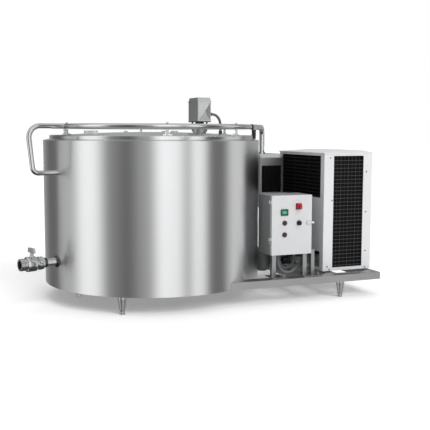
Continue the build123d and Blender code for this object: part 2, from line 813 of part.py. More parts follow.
hood_straight = hood_height - hood_chamfer_height
with BuildPart() as agitator_hood:
    with BuildSketch(level(hood_bottom, agitator_x)):
        RectangleRounded(hood_width, hood_depth, 4)
    extrude(amount=hood_straight)
    with BuildSketch(level(hood_bottom + hood_straight, agitator_x)):
        RectangleRounded(hood_width, hood_depth, 4)
    with BuildSketch(level(hood_bottom + hood_height, agitator_x)):
        RectangleRounded(hood_width - 6, hood_depth - 2 * hood_chamfer_depth, 4)
    loft()
    offset(amount=-hood_sheet, openings=agitator_hood.faces().sort_by(Axis.Z)[0])
    crease_middle = (tank_x + agitator_x, -hood_depth / 2, hood_bottom + hood_straight / 2)
    crease_base = Plane(origin=crease_middle, x_dir=(1, 0, 0), z_dir=(0, -1, 0))
    crease_width = hood_width - 2 * hood_crease_margin
    crease_height = hood_straight - 2 * hood_crease_margin
    for sunk, crease_mode in ((0, Mode.ADD), (hood_sheet, Mode.SUBTRACT)):
        with BuildSketch(crease_base.offset(-sunk - sunk / 2)):
            Rectangle(crease_width - 2 * sunk, crease_height - 2 * sunk)
        with BuildSketch(crease_base.offset(hood_crease - sunk)):
            Rectangle(hood_sheet, hood_sheet)
        loft(mode=crease_mode)
    with BuildSketch(level(hood_bottom + hood_straight - hood_sheet, agitator_x)):
        RectangleRounded(hood_width + 2 * hood_lip, hood_depth + 2 * hood_lip, 4)
        RectangleRounded(hood_width - hood_sheet, hood_depth - hood_sheet, 3, mode=Mode.SUBTRACT)
    extrude(amount=2 * hood_sheet)
save(agitator_hood, "agitator_hood")

with BuildPart() as agitator_shaft:
    with Locations((tank_x + agitator_x, 0, shaft_tip)):
        Cylinder(shaft_radius, shaft_top - shaft_tip, align=on_top)
save(agitator_shaft, "agitator_shaft")

hub_bottom = shaft_tip + 10
with BuildPart() as agitator_paddle:
    with Locations((tank_x + agitator_x, 0, hub_bottom)):
        Cylinder(paddle_hub, paddle_hub_height, align=on_top)
    for blade_turn in (0, 180):
        root = Plane(Location((tank_x + agitator_x, 0, hub_bottom + paddle_hub_height / 2), (0, 0, blade_turn)))
        sections = ((paddle_hub - 6, paddle_twist, 0.5), (paddle_radius, paddle_twist / 2, 1))
        for out, twist, share in sections:
            end = Plane(root.offset(0).location * Location((out, 0, 0), (0, 90, 0)) * Location((0, 0, 0), (0, 0, twist)))
            with BuildSketch(end):
                Rectangle(paddle_height * share, paddle_thickness)
        loft()
    with Locations((tank_x + agitator_x, 0, hub_bottom)):
        Cylinder(shaft_radius, 2 * paddle_hub_height, mode=Mode.SUBTRACT)
save(agitator_paddle, "agitator_paddle")

# Dipstick with its cap
cap_seat = dome_height(dipstick_x, 0)
with BuildPart() as dipstick:
    with Locations((tank_x + dipstick_x, 0, dipstick_foot)):
        Box(dipstick_width, dipstick_thickness, cap_seat + foot_gap - dipstick_foot, align=on_top)
    with BuildSketch(level(cap_seat + foot_gap, dipstick_x)):
        Circle(dipstick_cap)
    extrude(amount=dipstick_cap_height, taper=20)
save(dipstick, "dipstick")

# Outlet pipe, union and butterfly valve
def outlet_bar(start, length, radius, bore=outlet_bore):
    """A turned piece on the outlet's axis, from start along the radius."""
    with BuildPart() as bar:
        with BuildSketch(across(outlet_angle, start, outlet_height)):
            Circle(radius)
            if bore:
                Circle(bore, mode=Mode.SUBTRACT)
        extrude(amount=length)
    return bar.part


with BuildPart() as outlet_pipe:
    add(outlet_bar(neck_radius - vessel_knuckle, union_start - neck_radius + vessel_knuckle, outlet_tube))
    add(outlet_bar(jacket_radius, 4, outlet_tube + 8))
    add(vessel_envelope.part, mode=Mode.SUBTRACT)
save(outlet_pipe, "outlet_pipe")

with BuildPart() as outlet_union_nut:
    add(outlet_bar(union_start, union_length, union_radius, outlet_tube))
    for slot in range(6):
        with BuildSketch(across(outlet_angle, union_start, outlet_height)):
            with PolarLocations(union_radius, 1, start_angle=60 * slot):
                Circle(6)
        extrude(amount=union_length * 0.6, mode=Mode.SUBTRACT)
save(outlet_union_nut, "outlet_union_nut")

valve_middle = valve_start + valve_length / 2
valve_c = cos(radians(outlet_angle))
valve_s = sin(radians(outlet_angle))
valve_place = (tank_x + valve_middle * valve_c, valve_middle * valve_s)
stem_top = outlet_height + valve_radius + stem_boss_height
handle_bottom = outlet_height + valve_radius + 24
with BuildPart() as valve_body:
    add(outlet_bar(valve_start, valve_length, valve_radius, 0))
    chamfer(valve_body.edges().filter_by(GeomType.CIRCLE), 5)
    add(outlet_bar(valve_start + valve_length, male_length, male_radius, 0))
    with Locations((valve_place[0], valve_place[1], outlet_height)):
        Cylinder(stem_boss, valve_radius + stem_boss_height / 2, align=on_top)
    add(outlet_bar(valve_start, valve_length + male_length, outlet_bore, 0), mode=Mode.SUBTRACT)
    with Locations((valve_place[0], valve_place[1], outlet_height - valve_radius + 8)):
        Cylinder(stem_radius + running_clearance, 3 * valve_radius, align=on_top, mode=Mode.SUBTRACT)
save(valve_body, "valve_body")

disc_radius = outlet_bore - disc_clearance
with BuildPart() as valve_disc:
    add(outlet_bar(valve_middle - disc_thickness / 2, disc_thickness, disc_radius, 0))
    with Locations((valve_place[0], valve_place[1], outlet_height - valve_radius + 8 + foot_gap)):
        Cylinder(
            stem_radius, handle_bottom + handle_height / 2 - outlet_height + valve_radius - 8, align=on_top
        )
save(valve_disc, "valve_disc")

with BuildPart() as valve_handle:
    hub_bottom_z = outlet_height + valve_radius + stem_boss_height / 2 + foot_gap
    with Locations((valve_place[0], valve_place[1], hub_bottom_z)):
        Cylinder(stem_boss, handle_bottom - hub_bottom_z, align=on_top)
    with BuildSketch(across(outlet_angle, valve_middle, handle_bottom + handle_height / 2)):
        RectangleRounded(handle_width, handle_height, 9)
    extrude(amount=handle_thickness / 2, both=True)
    with Locations((valve_place[0], valve_place[1], outlet_height)):
        Cylinder(
            stem_radius + running_clearance,
            handle_bottom + handle_height / 2 - outlet_height + foot_gap,
            align=on_top, mode=Mode.SUBTRACT,
        )
save(valve_handle, "valve_handle")

# Condensing unit cabinet
cab_x = tank_x + cabinet_left
cab_right = cab_x + cabinet_width
cab_back = cabinet_front + cabinet_depth
frame_top = cabinet_bottom + cabinet_height - roof_thickness
frame_height = frame_top - cabinet_bottom
top_ring = rail_top_height - roof_thickness
opening_left = cab_x + post_left_width
opening_right = cab_right - post_right_width
opening_bottom = cabinet_bottom + rail_bottom_height
opening_top = frame_top - top_ring
from_corner = (Align.MIN, Align.MIN)
corner_solid = (Align.MIN, Align.MIN, Align.MIN)


def plan_box(x0, x1, y0, y1, z0, z1, mode=Mode.ADD):
    """A plain box between two corners."""
    with Locations((x0, y0, z0)):
        Box(x1 - x0, y1 - y0, z1 - z0, align=corner_solid, mode=mode)


with BuildPart() as cabinet_frame:
    plan_box(cab_x, cab_right, cabinet_front, cab_back, cabinet_bottom, frame_top)
    plan_box(
        cab_x + cabinet_sheet, cab_right - cabinet_sheet, cabinet_front + cabinet_sheet,
        cab_back - cabinet_sheet, cabinet_bottom + cabinet_sheet, frame_top + cabinet_sheet,
        mode=Mode.SUBTRACT,
    )
    plan_box(
        opening_left, opening_right, cabinet_front - cabinet_sheet, cabinet_front + 2 * cabinet_sheet,
        opening_bottom, opening_top, mode=Mode.SUBTRACT,
    )
    plan_box(
        cab_x + post_side_depth, cab_right - post_side_depth, cab_back - 2 * cabinet_sheet,
        cab_back + cabinet_sheet, opening_bottom, opening_top, mode=Mode.SUBTRACT,
    )
    plan_box(
        cab_x - cabinet_sheet, cab_right + cabinet_sheet, cabinet_front + post_side_depth,
        cab_back - post_side_depth, opening_bottom, opening_top, mode=Mode.SUBTRACT,
    )
    for pad_x in (cab_x + cabinet_pad_inset, cab_right - cabinet_pad_inset - cabinet_pad_width):
        plan_box(
            pad_x, pad_x + cabinet_pad_width, cabinet_front + post_side_depth, cab_back - 2 * post_side_depth,
            beam_top, cabinet_bottom,
        )
save(cabinet_frame, "cabinet_frame")

panel_lap = 12
side_front = cabinet_front + post_side_depth - panel_lap
side_back = cab_back - post_side_depth + panel_lap
window_bottom = opening_top - side_window_height
with BuildPart() as cabinet_panels:
    with BuildSketch(Plane(origin=(0, 0, frame_top))):
        with Locations((cab_x - roof_overhang, cabinet_front - roof_overhang)):
            Rectangle(
                cabinet_width + 2 * roof_overhang, cabinet_depth + 2 * roof_overhang, align=from_corner
            )
    extrude(amount=roof_thickness - 4)
    with BuildSketch(Plane(origin=(0, 0, frame_top + roof_thickness - 4))):
        with Locations((cab_x - roof_overhang, cabinet_front - roof_overhang)):
            Rectangle(
                cabinet_width + 2 * roof_overhang, cabinet_depth + 2 * roof_overhang, align=from_corner
            )
    with BuildSketch(Plane(origin=(0, 0, frame_top + roof_thickness + roof_crown))):
        with Locations((cab_x + cabinet_width / 2 - 20, cabinet_front + 100)):
            Rectangle(cabinet_width / 2, cabinet_depth - 200, align=from_corner)
    loft()
    plan_box(
        cab_x + cabinet_sheet, cab_x + 2 * cabinet_sheet, side_front, side_back,
        side_panel_bottom, window_bottom,
    )
    plan_box(
        cab_right - 2 * cabinet_sheet, cab_right - cabinet_sheet, side_front, side_back,
        opening_bottom - 10, opening_top + 8,
    )
save(cabinet_panels, "cabinet_panels")

with BuildPart() as front_grille:
    grille_y = cabinet_front + cabinet_sheet
    plan_box(
        opening_left - 8, opening_right + 8, grille_y, grille_y + 3, opening_bottom - 8, opening_top + 8,
    )
    plan_box(
        opening_left + 2, opening_right - 2, grille_y - 1, grille_y + 4, opening_bottom + 2,
        opening_top - 2, mode=Mode.SUBTRACT,
    )
    bar_count = int((opening_top - opening_bottom) / grille_pitch)
    for number in range(bar_count):
        bar_z = opening_bottom + (number + 0.5) * grille_pitch
        plan_box(
            opening_left, opening_right, grille_y, grille_y + 3, bar_z - grille_bar / 2, bar_z + grille_bar / 2,
        )
    for share in (0.25, 0.5, 0.75):
        tie_x = opening_left + share * (opening_right - opening_left)
        plan_box(
            tie_x - 1.5, tie_x + 1.5, grille_y + 3, grille_y + 6, opening_bottom - 4, opening_top + 4,
        )
save(front_grille, "front_grille")

with BuildPart() as side_grille:
    grille_x = cab_x + cabinet_sheet
    plan_box(
        grille_x, grille_x + 3, side_front, side_back, window_bottom + 1, opening_top + 8,
    )
    slot_count = int(side_window_height / grille_pitch)
    for number in range(slot_count):
        slot_z = window_bottom + 12 + number * grille_pitch
        plan_box(
            grille_x - 1, grille_x + 4, side_front + 2 * panel_lap, side_back - 2 * panel_lap,
            slot_z, slot_z + grille_pitch - grille_bar, mode=Mode.SUBTRACT,
        )
    for share in (0.33, 0.67):
        tie_y = side_front + share * (side_back - side_front)
        plan_box(
            grille_x + 3, grille_x + 5, tie_y - 2, tie_y + 2, window_bottom + 4, opening_top + 4,
        )
save(side_grille, "side_grille")

coil_front = cabinet_front + coil_gap
coil_left = opening_left - 10
coil_right = opening_right + 10
coil_bottom = cabinet_bottom + cabinet_sheet
bend_pitch = 110
with BuildPart() as condenser_coil:
    plan_box(coil_left, coil_right, coil_front, coil_front + coil_depth, coil_bottom, opening_top)
    for number in range(7):
        bend_z = coil_bottom + 70 + number * bend_pitch
        with BuildSketch(Plane(origin=(coil_left, coil_front + coil_depth / 2, 0), x_dir=(1, 0, 0),
                               z_dir=(0, -1, 0))):
            with Locations((0, bend_z)):
                Circle(18, align=(Align.CENTER, Align.CENTER))
                Circle(9, mode=Mode.SUBTRACT)
            Rectangle(200, 4000, align=(Align.MIN, Align.CENTER), mode=Mode.SUBTRACT)
        extrude(amount=5, both=True)
save(condenser_coil, "condenser_coil")

fan_x = cab_x + cabinet_width / 2
shroud_back = cab_back - cabinet_sheet - foot_gap
shroud_front = shroud_back - cabinet_sheet
collar_depth = 18
front_of_shroud = Plane(origin=(0, shroud_back, 0), x_dir=(1, 0, 0), z_dir=(0, -1, 0))
with BuildPart() as fan_shroud:
    plan_box(
        cab_x + cabinet_sheet + foot_gap, cab_right - cabinet_sheet - foot_gap,
        shroud_front, shroud_back, cabinet_bottom + cabinet_sheet + foot_gap, frame_top - 2,
    )
    with BuildSketch(front_of_shroud):
        for fan_z in fan_heights:
            with Locations((fan_x, fan_z)):
                Circle(fan_opening + cabinet_sheet)
    extrude(amount=collar_depth)
    with BuildSketch(front_of_shroud):
        for fan_z in fan_heights:
            with Locations((fan_x, fan_z)):
                Circle(fan_opening)
    extrude(amount=2 * collar_depth, mode=Mode.SUBTRACT)
save(fan_shroud, "fan_shroud")

motor_back = shroud_front - 30
arm_reach = fan_opening + 18
with BuildPart() as fan_motors:
    for fan_z in fan_heights:
        motor_face = Plane(origin=(fan_x, motor_back, fan_z), x_dir=(1, 0, 0), z_dir=(0, -1, 0))
        with BuildSketch(motor_face):
            Circle(fan_motor_radius)
        extrude(amount=fan_motor_length)
        with BuildSketch(motor_face.offset(6)):
            with PolarLocations(0, 4, start_angle=45):
                Rectangle(arm_reach, 12, align=(Align.MIN, Align.CENTER))
        extrude(amount=5)
        with BuildSketch(motor_face.offset(11)):
            with PolarLocations(arm_reach - 6, 4, start_angle=45):
                Rectangle(12, 12)
        extrude(amount=-(shroud_front - motor_back + 11))
        with BuildSketch(motor_face):
            Circle(fan_shaft + running_clearance)
        extrude(amount=fan_motor_length / 2, mode=Mode.SUBTRACT)
save(fan_motors, "fan_motors")

blade_width = 62
blade_pitch = 24
rotor_middle = shroud_front - 14
for fan_z, rotor_name in zip(fan_heights, ("fan_rotor_lower", "fan_rotor_upper")):
    rotor_face = Plane(origin=(fan_x, rotor_middle, fan_z), x_dir=(1, 0, 0), z_dir=(0, -1, 0))
    with BuildPart() as fan_rotor:
        with BuildSketch(rotor_face):
            Circle(fan_hub)
        extrude(amount=11, both=True)
        with BuildSketch(rotor_face):
            Circle(fan_shaft)
        extrude(amount=fan_motor_length / 2 + shroud_front - motor_back - 16)
        for blade in range(fan_blades):
            blade_turn = Plane(rotor_face.location * Location((0, 0, 0), (0, 0, 360 / fan_blades * blade)))
            for_blade = blade_turn.location * Location((fan_hub - 6, 0, 0), (0, 90, 0))
            root = Plane(for_blade * Location((0, 0, 0), (0, 0, blade_pitch + 14)))
            tip = Plane(for_blade * Location((0, 0, fan_radius - fan_hub + 6), (0, 0, blade_pitch - 4)))
            with BuildSketch(root):
                Rectangle(2.5, blade_width * 0.6)
            with BuildSketch(tip):
                Rectangle(2.5, blade_width)
            loft()
    save(fan_rotor, rotor_name)

# Compressor on its plate, and the liquid receiver on its bracket
compressor_plate = 6
compressor_lift = 26
mount_pitch = 110
grommet_radius = 11
compressor_axis = Axis((tank_x + compressor_x, compressor_y, 0), (0, 0, 1))
with BuildPart() as compressor:
    with BuildSketch(Plane(origin=(tank_x + compressor_x, compressor_y, 0), x_dir=(1, 0, 0), z_dir=(0, -1, 0))):
        shell_bottom = beam_top + compressor_plate + compressor_lift
        with BuildLine():
            Polyline((0, shell_bottom), (compressor_radius - 30, shell_bottom))
            JernArc((compressor_radius - 30, shell_bottom), (1, 0), 30, 90)
            Line(
                (compressor_radius, shell_bottom + 30),
                (compressor_radius, shell_bottom + compressor_height - 50),
            )
            JernArc((compressor_radius, shell_bottom + compressor_height - 50), (0, 1), 50, 90)
            Polyline(
                (compressor_radius - 50, shell_bottom + compressor_height),
                (0, shell_bottom + compressor_height), (0, shell_bottom),
            )
        make_face()
    revolve(axis=compressor_axis)
    with Locations((tank_x + compressor_x, compressor_y, beam_top)):
        with GridLocations(mount_pitch, mount_pitch, 2, 2):
            Cylinder(grommet_radius, compressor_plate + compressor_lift + 30, align=on_top)
    plan_box(
        tank_x + middle_cross_x - beam_width / 2, cab_x + cabinet_pad_inset - 2,
        compressor_y - compressor_radius, compressor_y + compressor_radius,
        beam_top, beam_top + compressor_plate,
    )
save(compressor, "compressor")

with BuildPart() as liquid_receiver:
    with Locations((tank_x + receiver_x, receiver_y, receiver_bottom)):
        Cylinder(receiver_radius, receiver_height, align=on_top)
    fillet(liquid_receiver.edges().filter_by(GeomType.CIRCLE), receiver_dish)
    plan_box(
        tank_x + receiver_x - 12, tank_x + receiver_x + 12, receiver_y + receiver_radius / 2,
        -beam_width / 2, ground_clearance + 20, beam_top - 4,
    )
save(liquid_receiver, "liquid_receiver")

# Washing unit on its stand
wash_x = tank_x + wash_left
wash_right = wash_x + wash_width
wash_back = wash_front + wash_depth
wash_side = Plane(origin=(wash_x, 0, 0), x_dir=(0, 1, 0), z_dir=(1, 0, 0))


def wash_outline(inset):
    """The unit's side outline with its sloping cowl, drawn inset by a wall."""
    with BuildSketch() as outline:
        with BuildLine():
            Polyline(
                (wash_front + inset, wash_bottom + inset), (wash_back - inset, wash_bottom + inset),
                (wash_back - inset, wash_top - inset), (wash_front + wash_slope, wash_top - inset),
                (wash_front + inset, wash_top - wash_slope), close=True,
            )
        make_face()
    return outline.sketch


with BuildPart() as wash_unit_case:
    with BuildSketch(wash_side):
        add(wash_outline(0))
    extrude(amount=wash_width)
    with BuildSketch(wash_side.offset(wash_sheet)):
        add(wash_outline(wash_sheet))
    extrude(amount=wash_width - 2 * wash_sheet, mode=Mode.SUBTRACT)
    plan_box(
        wash_x + 12, wash_right - 12, wash_front - 1, wash_front + 2 * wash_sheet,
        wash_panel_bottom, wash_panel_top, mode=Mode.SUBTRACT,
    )
    for leg_x in (wash_x, wash_right - wash_leg):
        for leg_back in (wash_front, wash_back - wash_leg):
            plan_box(leg_x, leg_x + wash_leg, leg_back, leg_back + wash_leg, beam_top + 5, wash_bottom)
    plan_box(wash_x, tank_x + cabinet_cross_x, wash_front, wash_back, beam_top, beam_top + 5)
    with Locations((tank_x + riser_x, riser_y, wash_top - 3 * wash_sheet)):
        Cylinder(riser_tube - pipe_wall, 6 * wash_sheet, align=on_top, mode=Mode.SUBTRACT)
save(wash_unit_case, "wash_unit_case")

with BuildPart() as wash_unit_front:
    plan_box(
        wash_x + 6, wash_right - 6, wash_front + wash_sheet + foot_gap, wash_front + 3 * wash_sheet,
        wash_panel_bottom - 6, wash_panel_top + 6,
    )
    for number in range(5):
        rib_x = wash_x + 30 + number * 30
        plan_box(
            rib_x, rib_x + 3, wash_front - wash_sheet, wash_front + 2 * wash_sheet,
            wash_panel_bottom + 10, wash_panel_top - 10,
        )
save(wash_unit_front, "wash_unit_front")

# Control box and its door
bx = tank_x + box_left
bx_right = bx + box_width
box_top = box_bottom + box_height
body_back = box_front + box_depth
hinge_line_x = bx - door_hinge_radius - foot_gap
hinge_line_y = body_front - door_gap / 2
door_hinge_height = 40
with BuildPart() as control_box:
    plan_box(bx, bx_right, body_front, body_back, box_bottom, box_top)
    plan_box(
        bx + box_sheet, bx_right - box_sheet, body_front + box_sheet, body_back - box_sheet,
        box_bottom + box_sheet, box_top - box_sheet, mode=Mode.SUBTRACT,
    )
    plan_box(
        bx + box_lip, bx_right - box_lip, body_front - 1, body_front + 2 * box_sheet,
        box_bottom + box_lip, box_top - box_lip, mode=Mode.SUBTRACT,
    )
    for hinge_height in door_hinge_heights:
        plan_box(
            hinge_line_x, bx, hinge_line_y, body_front + 20,
            hinge_height - door_hinge_height / 2, hinge_height - hinge_joint_gap / 2,
        )
        with Locations((hinge_line_x, hinge_line_y, hinge_height - door_hinge_height / 2)):
            Cylinder(door_hinge_radius, door_hinge_height / 2 - hinge_joint_gap / 2, align=on_top)
            Cylinder(door_hinge_radius / 2, door_hinge_height - 2, align=on_top)
save(control_box, "control_box")

door_y = box_front + door_depth
through_door = Plane(origin=(bx, box_front, box_bottom), x_dir=(1, 0, 0), z_dir=(0, -1, 0))
thread_radius = collar_radius - 4
with BuildPart() as control_box_door:
    plan_box(bx, bx_right, box_front, door_y, box_bottom, box_top)
    plan_box(
        bx + door_sheet, bx_right - door_sheet, box_front + door_sheet, door_y + 1,
        box_bottom + door_sheet, box_top - door_sheet, mode=Mode.SUBTRACT,
    )
    for hinge_height in door_hinge_heights:
        plan_box(
            hinge_line_x, bx, box_front + 4, hinge_line_y,
            hinge_height + hinge_joint_gap / 2, hinge_height + door_hinge_height / 2,
        )
        with Locations((hinge_line_x, hinge_line_y, hinge_height + hinge_joint_gap / 2)):
            Cylinder(door_hinge_radius, door_hinge_height / 2 - hinge_joint_gap / 2, align=on_top)
            Cylinder(
                door_hinge_radius / 2 + running_clearance, door_hinge_height, mode=Mode.SUBTRACT
            )
    with BuildSketch(through_door):
        with Locations(display_place):
            Rectangle(display_size[0] - 6, display_size[1] - 6)
        with Locations(switch_place, selector_place, *button_places):
            Circle(thread_radius + foot_gap)
        with Locations(latch_place):
            Circle(9 + running_clearance)
    extrude(amount=-3 * door_sheet, mode=Mode.SUBTRACT)
save(control_box_door, "control_box_door")

with BuildPart() as temperature_controller:
    with BuildSketch(through_door):
        with Locations(display_place):
            RectangleRounded(display_size[0], display_size[1], 3)
    extrude(amount=7)
    with BuildSketch(through_door):
        with Locations(display_place):
            Rectangle(display_size[0] - 7, display_size[1] - 7)
    extrude(amount=-door_depth + 3)
    with BuildSketch(through_door.offset(7)):
        with Locations(display_place):
            Rectangle(display_size[0] - 14, display_size[1] - 18)
    extrude(amount=-2, mode=Mode.SUBTRACT)
save(temperature_controller, "temperature_controller")

with BuildPart() as switch_collars:
    with BuildSketch(through_door):
        with Locations(switch_place):
            RectangleRounded(switch_size, switch_size, 3)
        with Locations(selector_place, *button_places):
            Circle(collar_radius)
    extrude(amount=collar_height)
    with BuildSketch(through_door):
        with Locations(switch_place, selector_place, *button_places):
            Circle(thread_radius)
    extrude(amount=-door_depth + 3)
    with BuildSketch(through_door.offset(collar_height)):
        with Locations(*button_places):
            Circle(button_radius + running_clearance)
        with Locations(switch_place, selector_place):
            Circle(stem_radius + running_clearance)
    extrude(amount=-2 * door_depth, mode=Mode.SUBTRACT)
save(switch_collars, "switch_collars")

for place, radius, knob_rise, knob_name in (
    (switch_place, main_knob_radius, main_knob_height, "main_switch_knob"),
    (selector_place, knob_radius, knob_height, "selector_knob"),
):
    with BuildPart() as knob:
        with BuildSketch(through_door.offset(collar_height + foot_gap)):
            with Locations(place):
                Circle(radius)
        extrude(amount=knob_rise / 2)
        with BuildSketch(through_door.offset(collar_height + knob_rise / 2)):
            with Locations(place):
                RectangleRounded(radius * 0.7, 2 * radius - 1, 3)
        extrude(amount=knob_rise / 2)
        with BuildSketch(through_door.offset(collar_height + foot_gap)):
            with Locations(place):
                Circle(stem_radius)
        extrude(amount=-door_depth + 4)
    save(knob, knob_name)

for place, button_name in zip(button_places, ("push_button_upper", "push_button_lower")):
    with BuildPart() as push_button:
        with BuildSketch(through_door.offset(collar_height + button_height - button_travel)):
            with Locations(place):
                Circle(button_radius)
        extrude(amount=-door_depth + button_travel)
        chamfer(push_button.edges().group_by(Axis.Y)[0], 1.5)
    save(push_button, button_name)

tongue_y = body_front + 2 * box_sheet
latch_reach = 24
latch_axis = (bx + latch_place[0], 0, box_bottom + latch_place[1])
latch_plane = Plane(origin=latch_axis, x_dir=(1, 0, 0), z_dir=(0, -1, 0))
with BuildPart() as door_latch:
    with BuildSketch(latch_plane.offset(-tongue_y - 3)):
        Circle(9)
    extrude(amount=tongue_y + 3 - box_front + 4)
    with BuildSketch(latch_plane.offset(-box_front + 4)):
        Circle(11)
        with Locations((0, 0)):
            Rectangle(42, 12, align=(Align.MIN, Align.CENTER))
    extrude(amount=8)
    with BuildSketch(latch_plane.offset(-tongue_y - 3)):
        Rectangle(12, latch_reach, align=(Align.CENTER, Align.MAX))
    extrude(amount=3)
save(door_latch, "door_latch")

plate_inset = 20
switchgear = (
    (0.15, 0.3, 0.62, 0.84, 70), (0.32, 0.47, 0.62, 0.84, 70), (0.49, 0.64, 0.62, 0.84, 70),
    (0.7, 0.88, 0.59, 0.84, 60), (0.13, 0.88, 0.15, 0.28, 35), (0.13, 0.67, 0.35, 0.54, 50),
)
with BuildPart() as mounting_plate:
    plate_y = body_back - box_sheet - 12
    plan_box(
        bx + plate_inset, bx_right - plate_inset, plate_y, plate_y + 2,
        box_bottom + plate_inset, box_top - plate_inset,
    )
    for stud_x in (bx + 2 * plate_inset, bx_right - 2 * plate_inset):
        for stud_z in (box_bottom + 2 * plate_inset, box_top - 2 * plate_inset):
            with Locations(Location((stud_x, plate_y + 7, stud_z), (90, 0, 0))):
                Cylinder(5, 10)
    for left, right, bottom, top, reach in switchgear:
        plan_box(
            bx + left * box_width, bx + right * box_width, plate_y - reach, plate_y,
            box_bottom + bottom * box_height, box_bottom + top * box_height,
        )
save(mounting_plate, "mounting_plate")

leg_bottom = beam_top + foot_plate_thickness
plate_front = beam_front_y - 9
plate_back = leg_y + leg_size / 2 + 2
plate_spans = (
    (leg_places[0] - foot_plate_width / 2, leg_places[0] + foot_plate_width / 2),
    (leg_places[1] - foot_plate_width / 2, side_leg_x + leg_size / 2 + 1),
)
with BuildPart() as box_stand:
    for start, end in plate_spans:
        plan_box(tank_x + start, tank_x + end, plate_front, plate_back, beam_top, leg_bottom)
        for bolt_x in (start + 10, end - 10):
            with Locations((tank_x + bolt_x, beam_front_y + 20, leg_bottom)):
                Cylinder(plate_bolt, plate_bolt, align=on_top)
    for leg_x in leg_places:
        with BuildSketch(Plane(origin=(tank_x + leg_x, leg_y, leg_bottom))):
            Rectangle(leg_size, leg_size)
            Rectangle(leg_size - 4, leg_size - 4, mode=Mode.SUBTRACT)
        extrude(amount=box_bottom - leg_bottom)
    with BuildSketch(Plane(origin=(tank_x + side_leg_x, leg_y, leg_bottom))):
        Rectangle(leg_size - 4, leg_size - 4)
        Rectangle(leg_size - 8, leg_size - 8, mode=Mode.SUBTRACT)
    extrude(amount=box_bottom + 22 - leg_bottom)
    plan_box(
        bx_right, tank_x + side_leg_x - leg_size / 2 + 2, leg_y - 8, leg_y + 12,
        box_bottom + 2, box_bottom + 22,
    )
save(box_stand, "box_stand")

# Glands, hoses and the motor conduit
hood_right = agitator_x + hood_width / 2
hood_gland_length = conduit_xz[0][0] - hood_right
outer_ends = (outer_hose_xz[0][0], outer_hose_xz[-1][0])
inner_ends = (inner_hose_xz[0][0], inner_hose_xz[-1][0])
with BuildPart() as conduit_glands:
    for ends, row_y in zip((outer_ends, inner_ends), hose_y):
        for end_x in ends:
            with Locations((tank_x + end_x, row_y, box_bottom - gland_height)):
                Cylinder(gland_radius, gland_height, align=on_top)
    with Locations(Location((tank_x + hood_right, conduit_y, conduit_xz[0][1]), (0, 90, 0))):
        Cylinder(gland_radius - 3, hood_gland_length, align=on_top)
    conduit_end_x, conduit_end_z = conduit_xz[-1]
    with Locations((tank_x + conduit_end_x, conduit_y, ledge_top)):
        Cylinder(gland_radius - 3, conduit_end_z - ledge_top, align=on_top)
    add(dome_envelope.part, mode=Mode.SUBTRACT)
save(conduit_glands, "conduit_glands")

for cord_name, route_xz, route_y, radius in (
    ("supply_hose_outer", outer_hose_xz, hose_y[0], hose_radius),
    ("supply_hose_inner", inner_hose_xz, hose_y[1], hose_radius),
    ("motor_conduit", conduit_xz, conduit_y, conduit_radius),
):
    points = [(tank_x + x, route_y, z) for x, z in route_xz]
    bends = bend_radii(points)
    with BuildPart() as cord:
        add(pipe(points, radius, bends))
    print(cord_name, "radii", [round(bend) for bend in bends], "length",
          round(cord.part.volume / (pi * radius**2)))
    save(cord, cord_name)
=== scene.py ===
"""Looks for the milk cooling tank: materials, small pieces, cords, studio and camera, in metres."""

from math import cos, pi, radians, sin

import bmesh
import bpy
from mathutils import Matrix, Vector


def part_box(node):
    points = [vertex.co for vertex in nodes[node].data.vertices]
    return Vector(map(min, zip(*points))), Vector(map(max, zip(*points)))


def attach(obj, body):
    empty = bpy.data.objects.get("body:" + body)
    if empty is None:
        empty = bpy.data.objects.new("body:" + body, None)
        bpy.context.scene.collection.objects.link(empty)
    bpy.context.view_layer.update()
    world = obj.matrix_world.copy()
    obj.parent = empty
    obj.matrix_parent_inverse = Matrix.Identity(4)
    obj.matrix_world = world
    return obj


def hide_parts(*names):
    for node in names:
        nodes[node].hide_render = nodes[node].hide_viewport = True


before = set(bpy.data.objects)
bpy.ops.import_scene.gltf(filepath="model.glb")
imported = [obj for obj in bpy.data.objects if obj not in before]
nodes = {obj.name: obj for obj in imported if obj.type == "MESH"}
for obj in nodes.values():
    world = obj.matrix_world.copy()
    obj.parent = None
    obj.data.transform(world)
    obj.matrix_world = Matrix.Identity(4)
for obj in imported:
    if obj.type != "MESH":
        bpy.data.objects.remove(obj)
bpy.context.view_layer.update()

# Sizes shared by several pieces
MM = 0.001
OUTLET_ANGLE = radians(196)
LOOP_ANGLE = radians(198.5)


def middle(node):
    """The centre of a node's box."""
    low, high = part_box(node)
    return (low + high) / 2


TANK = middle("outer_jacket")
TANK.z = 0
JACKET_RADIUS = (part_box("outer_jacket")[1].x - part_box("outer_jacket")[0].x) / 2


def around_tank(angle, reach, z):
    """A point at a reach from the tank's axis."""
    return TANK + Vector((reach * cos(angle), reach * sin(angle), z))


# Materials


def new_material(name):
    """An empty Principled material: the material, its tree and its shader."""
    mat = bpy.data.materials.new(name)
    mat.use_nodes = True
    return mat, mat.node_tree, mat.node_tree.nodes["Principled BSDF"]


def noise(tree, scale, stretch=(1, 1, 1), detail=3.0):
    """A noise pattern in object coordinates, stretched along an axis where a scale is small."""
    coords = tree.nodes.new("ShaderNodeTexCoord")
    mapping = tree.nodes.new("ShaderNodeMapping")
    mapping.inputs["Scale"].default_value = stretch
    pattern = tree.nodes.new("ShaderNodeTexNoise")
    pattern.inputs["Scale"].default_value = scale
    pattern.inputs["Detail"].default_value = detail
    tree.links.new(coords.outputs["Object"], mapping.inputs["Vector"])
    tree.links.new(mapping.outputs["Vector"], pattern.inputs["Vector"])
    return pattern.outputs["Fac"]


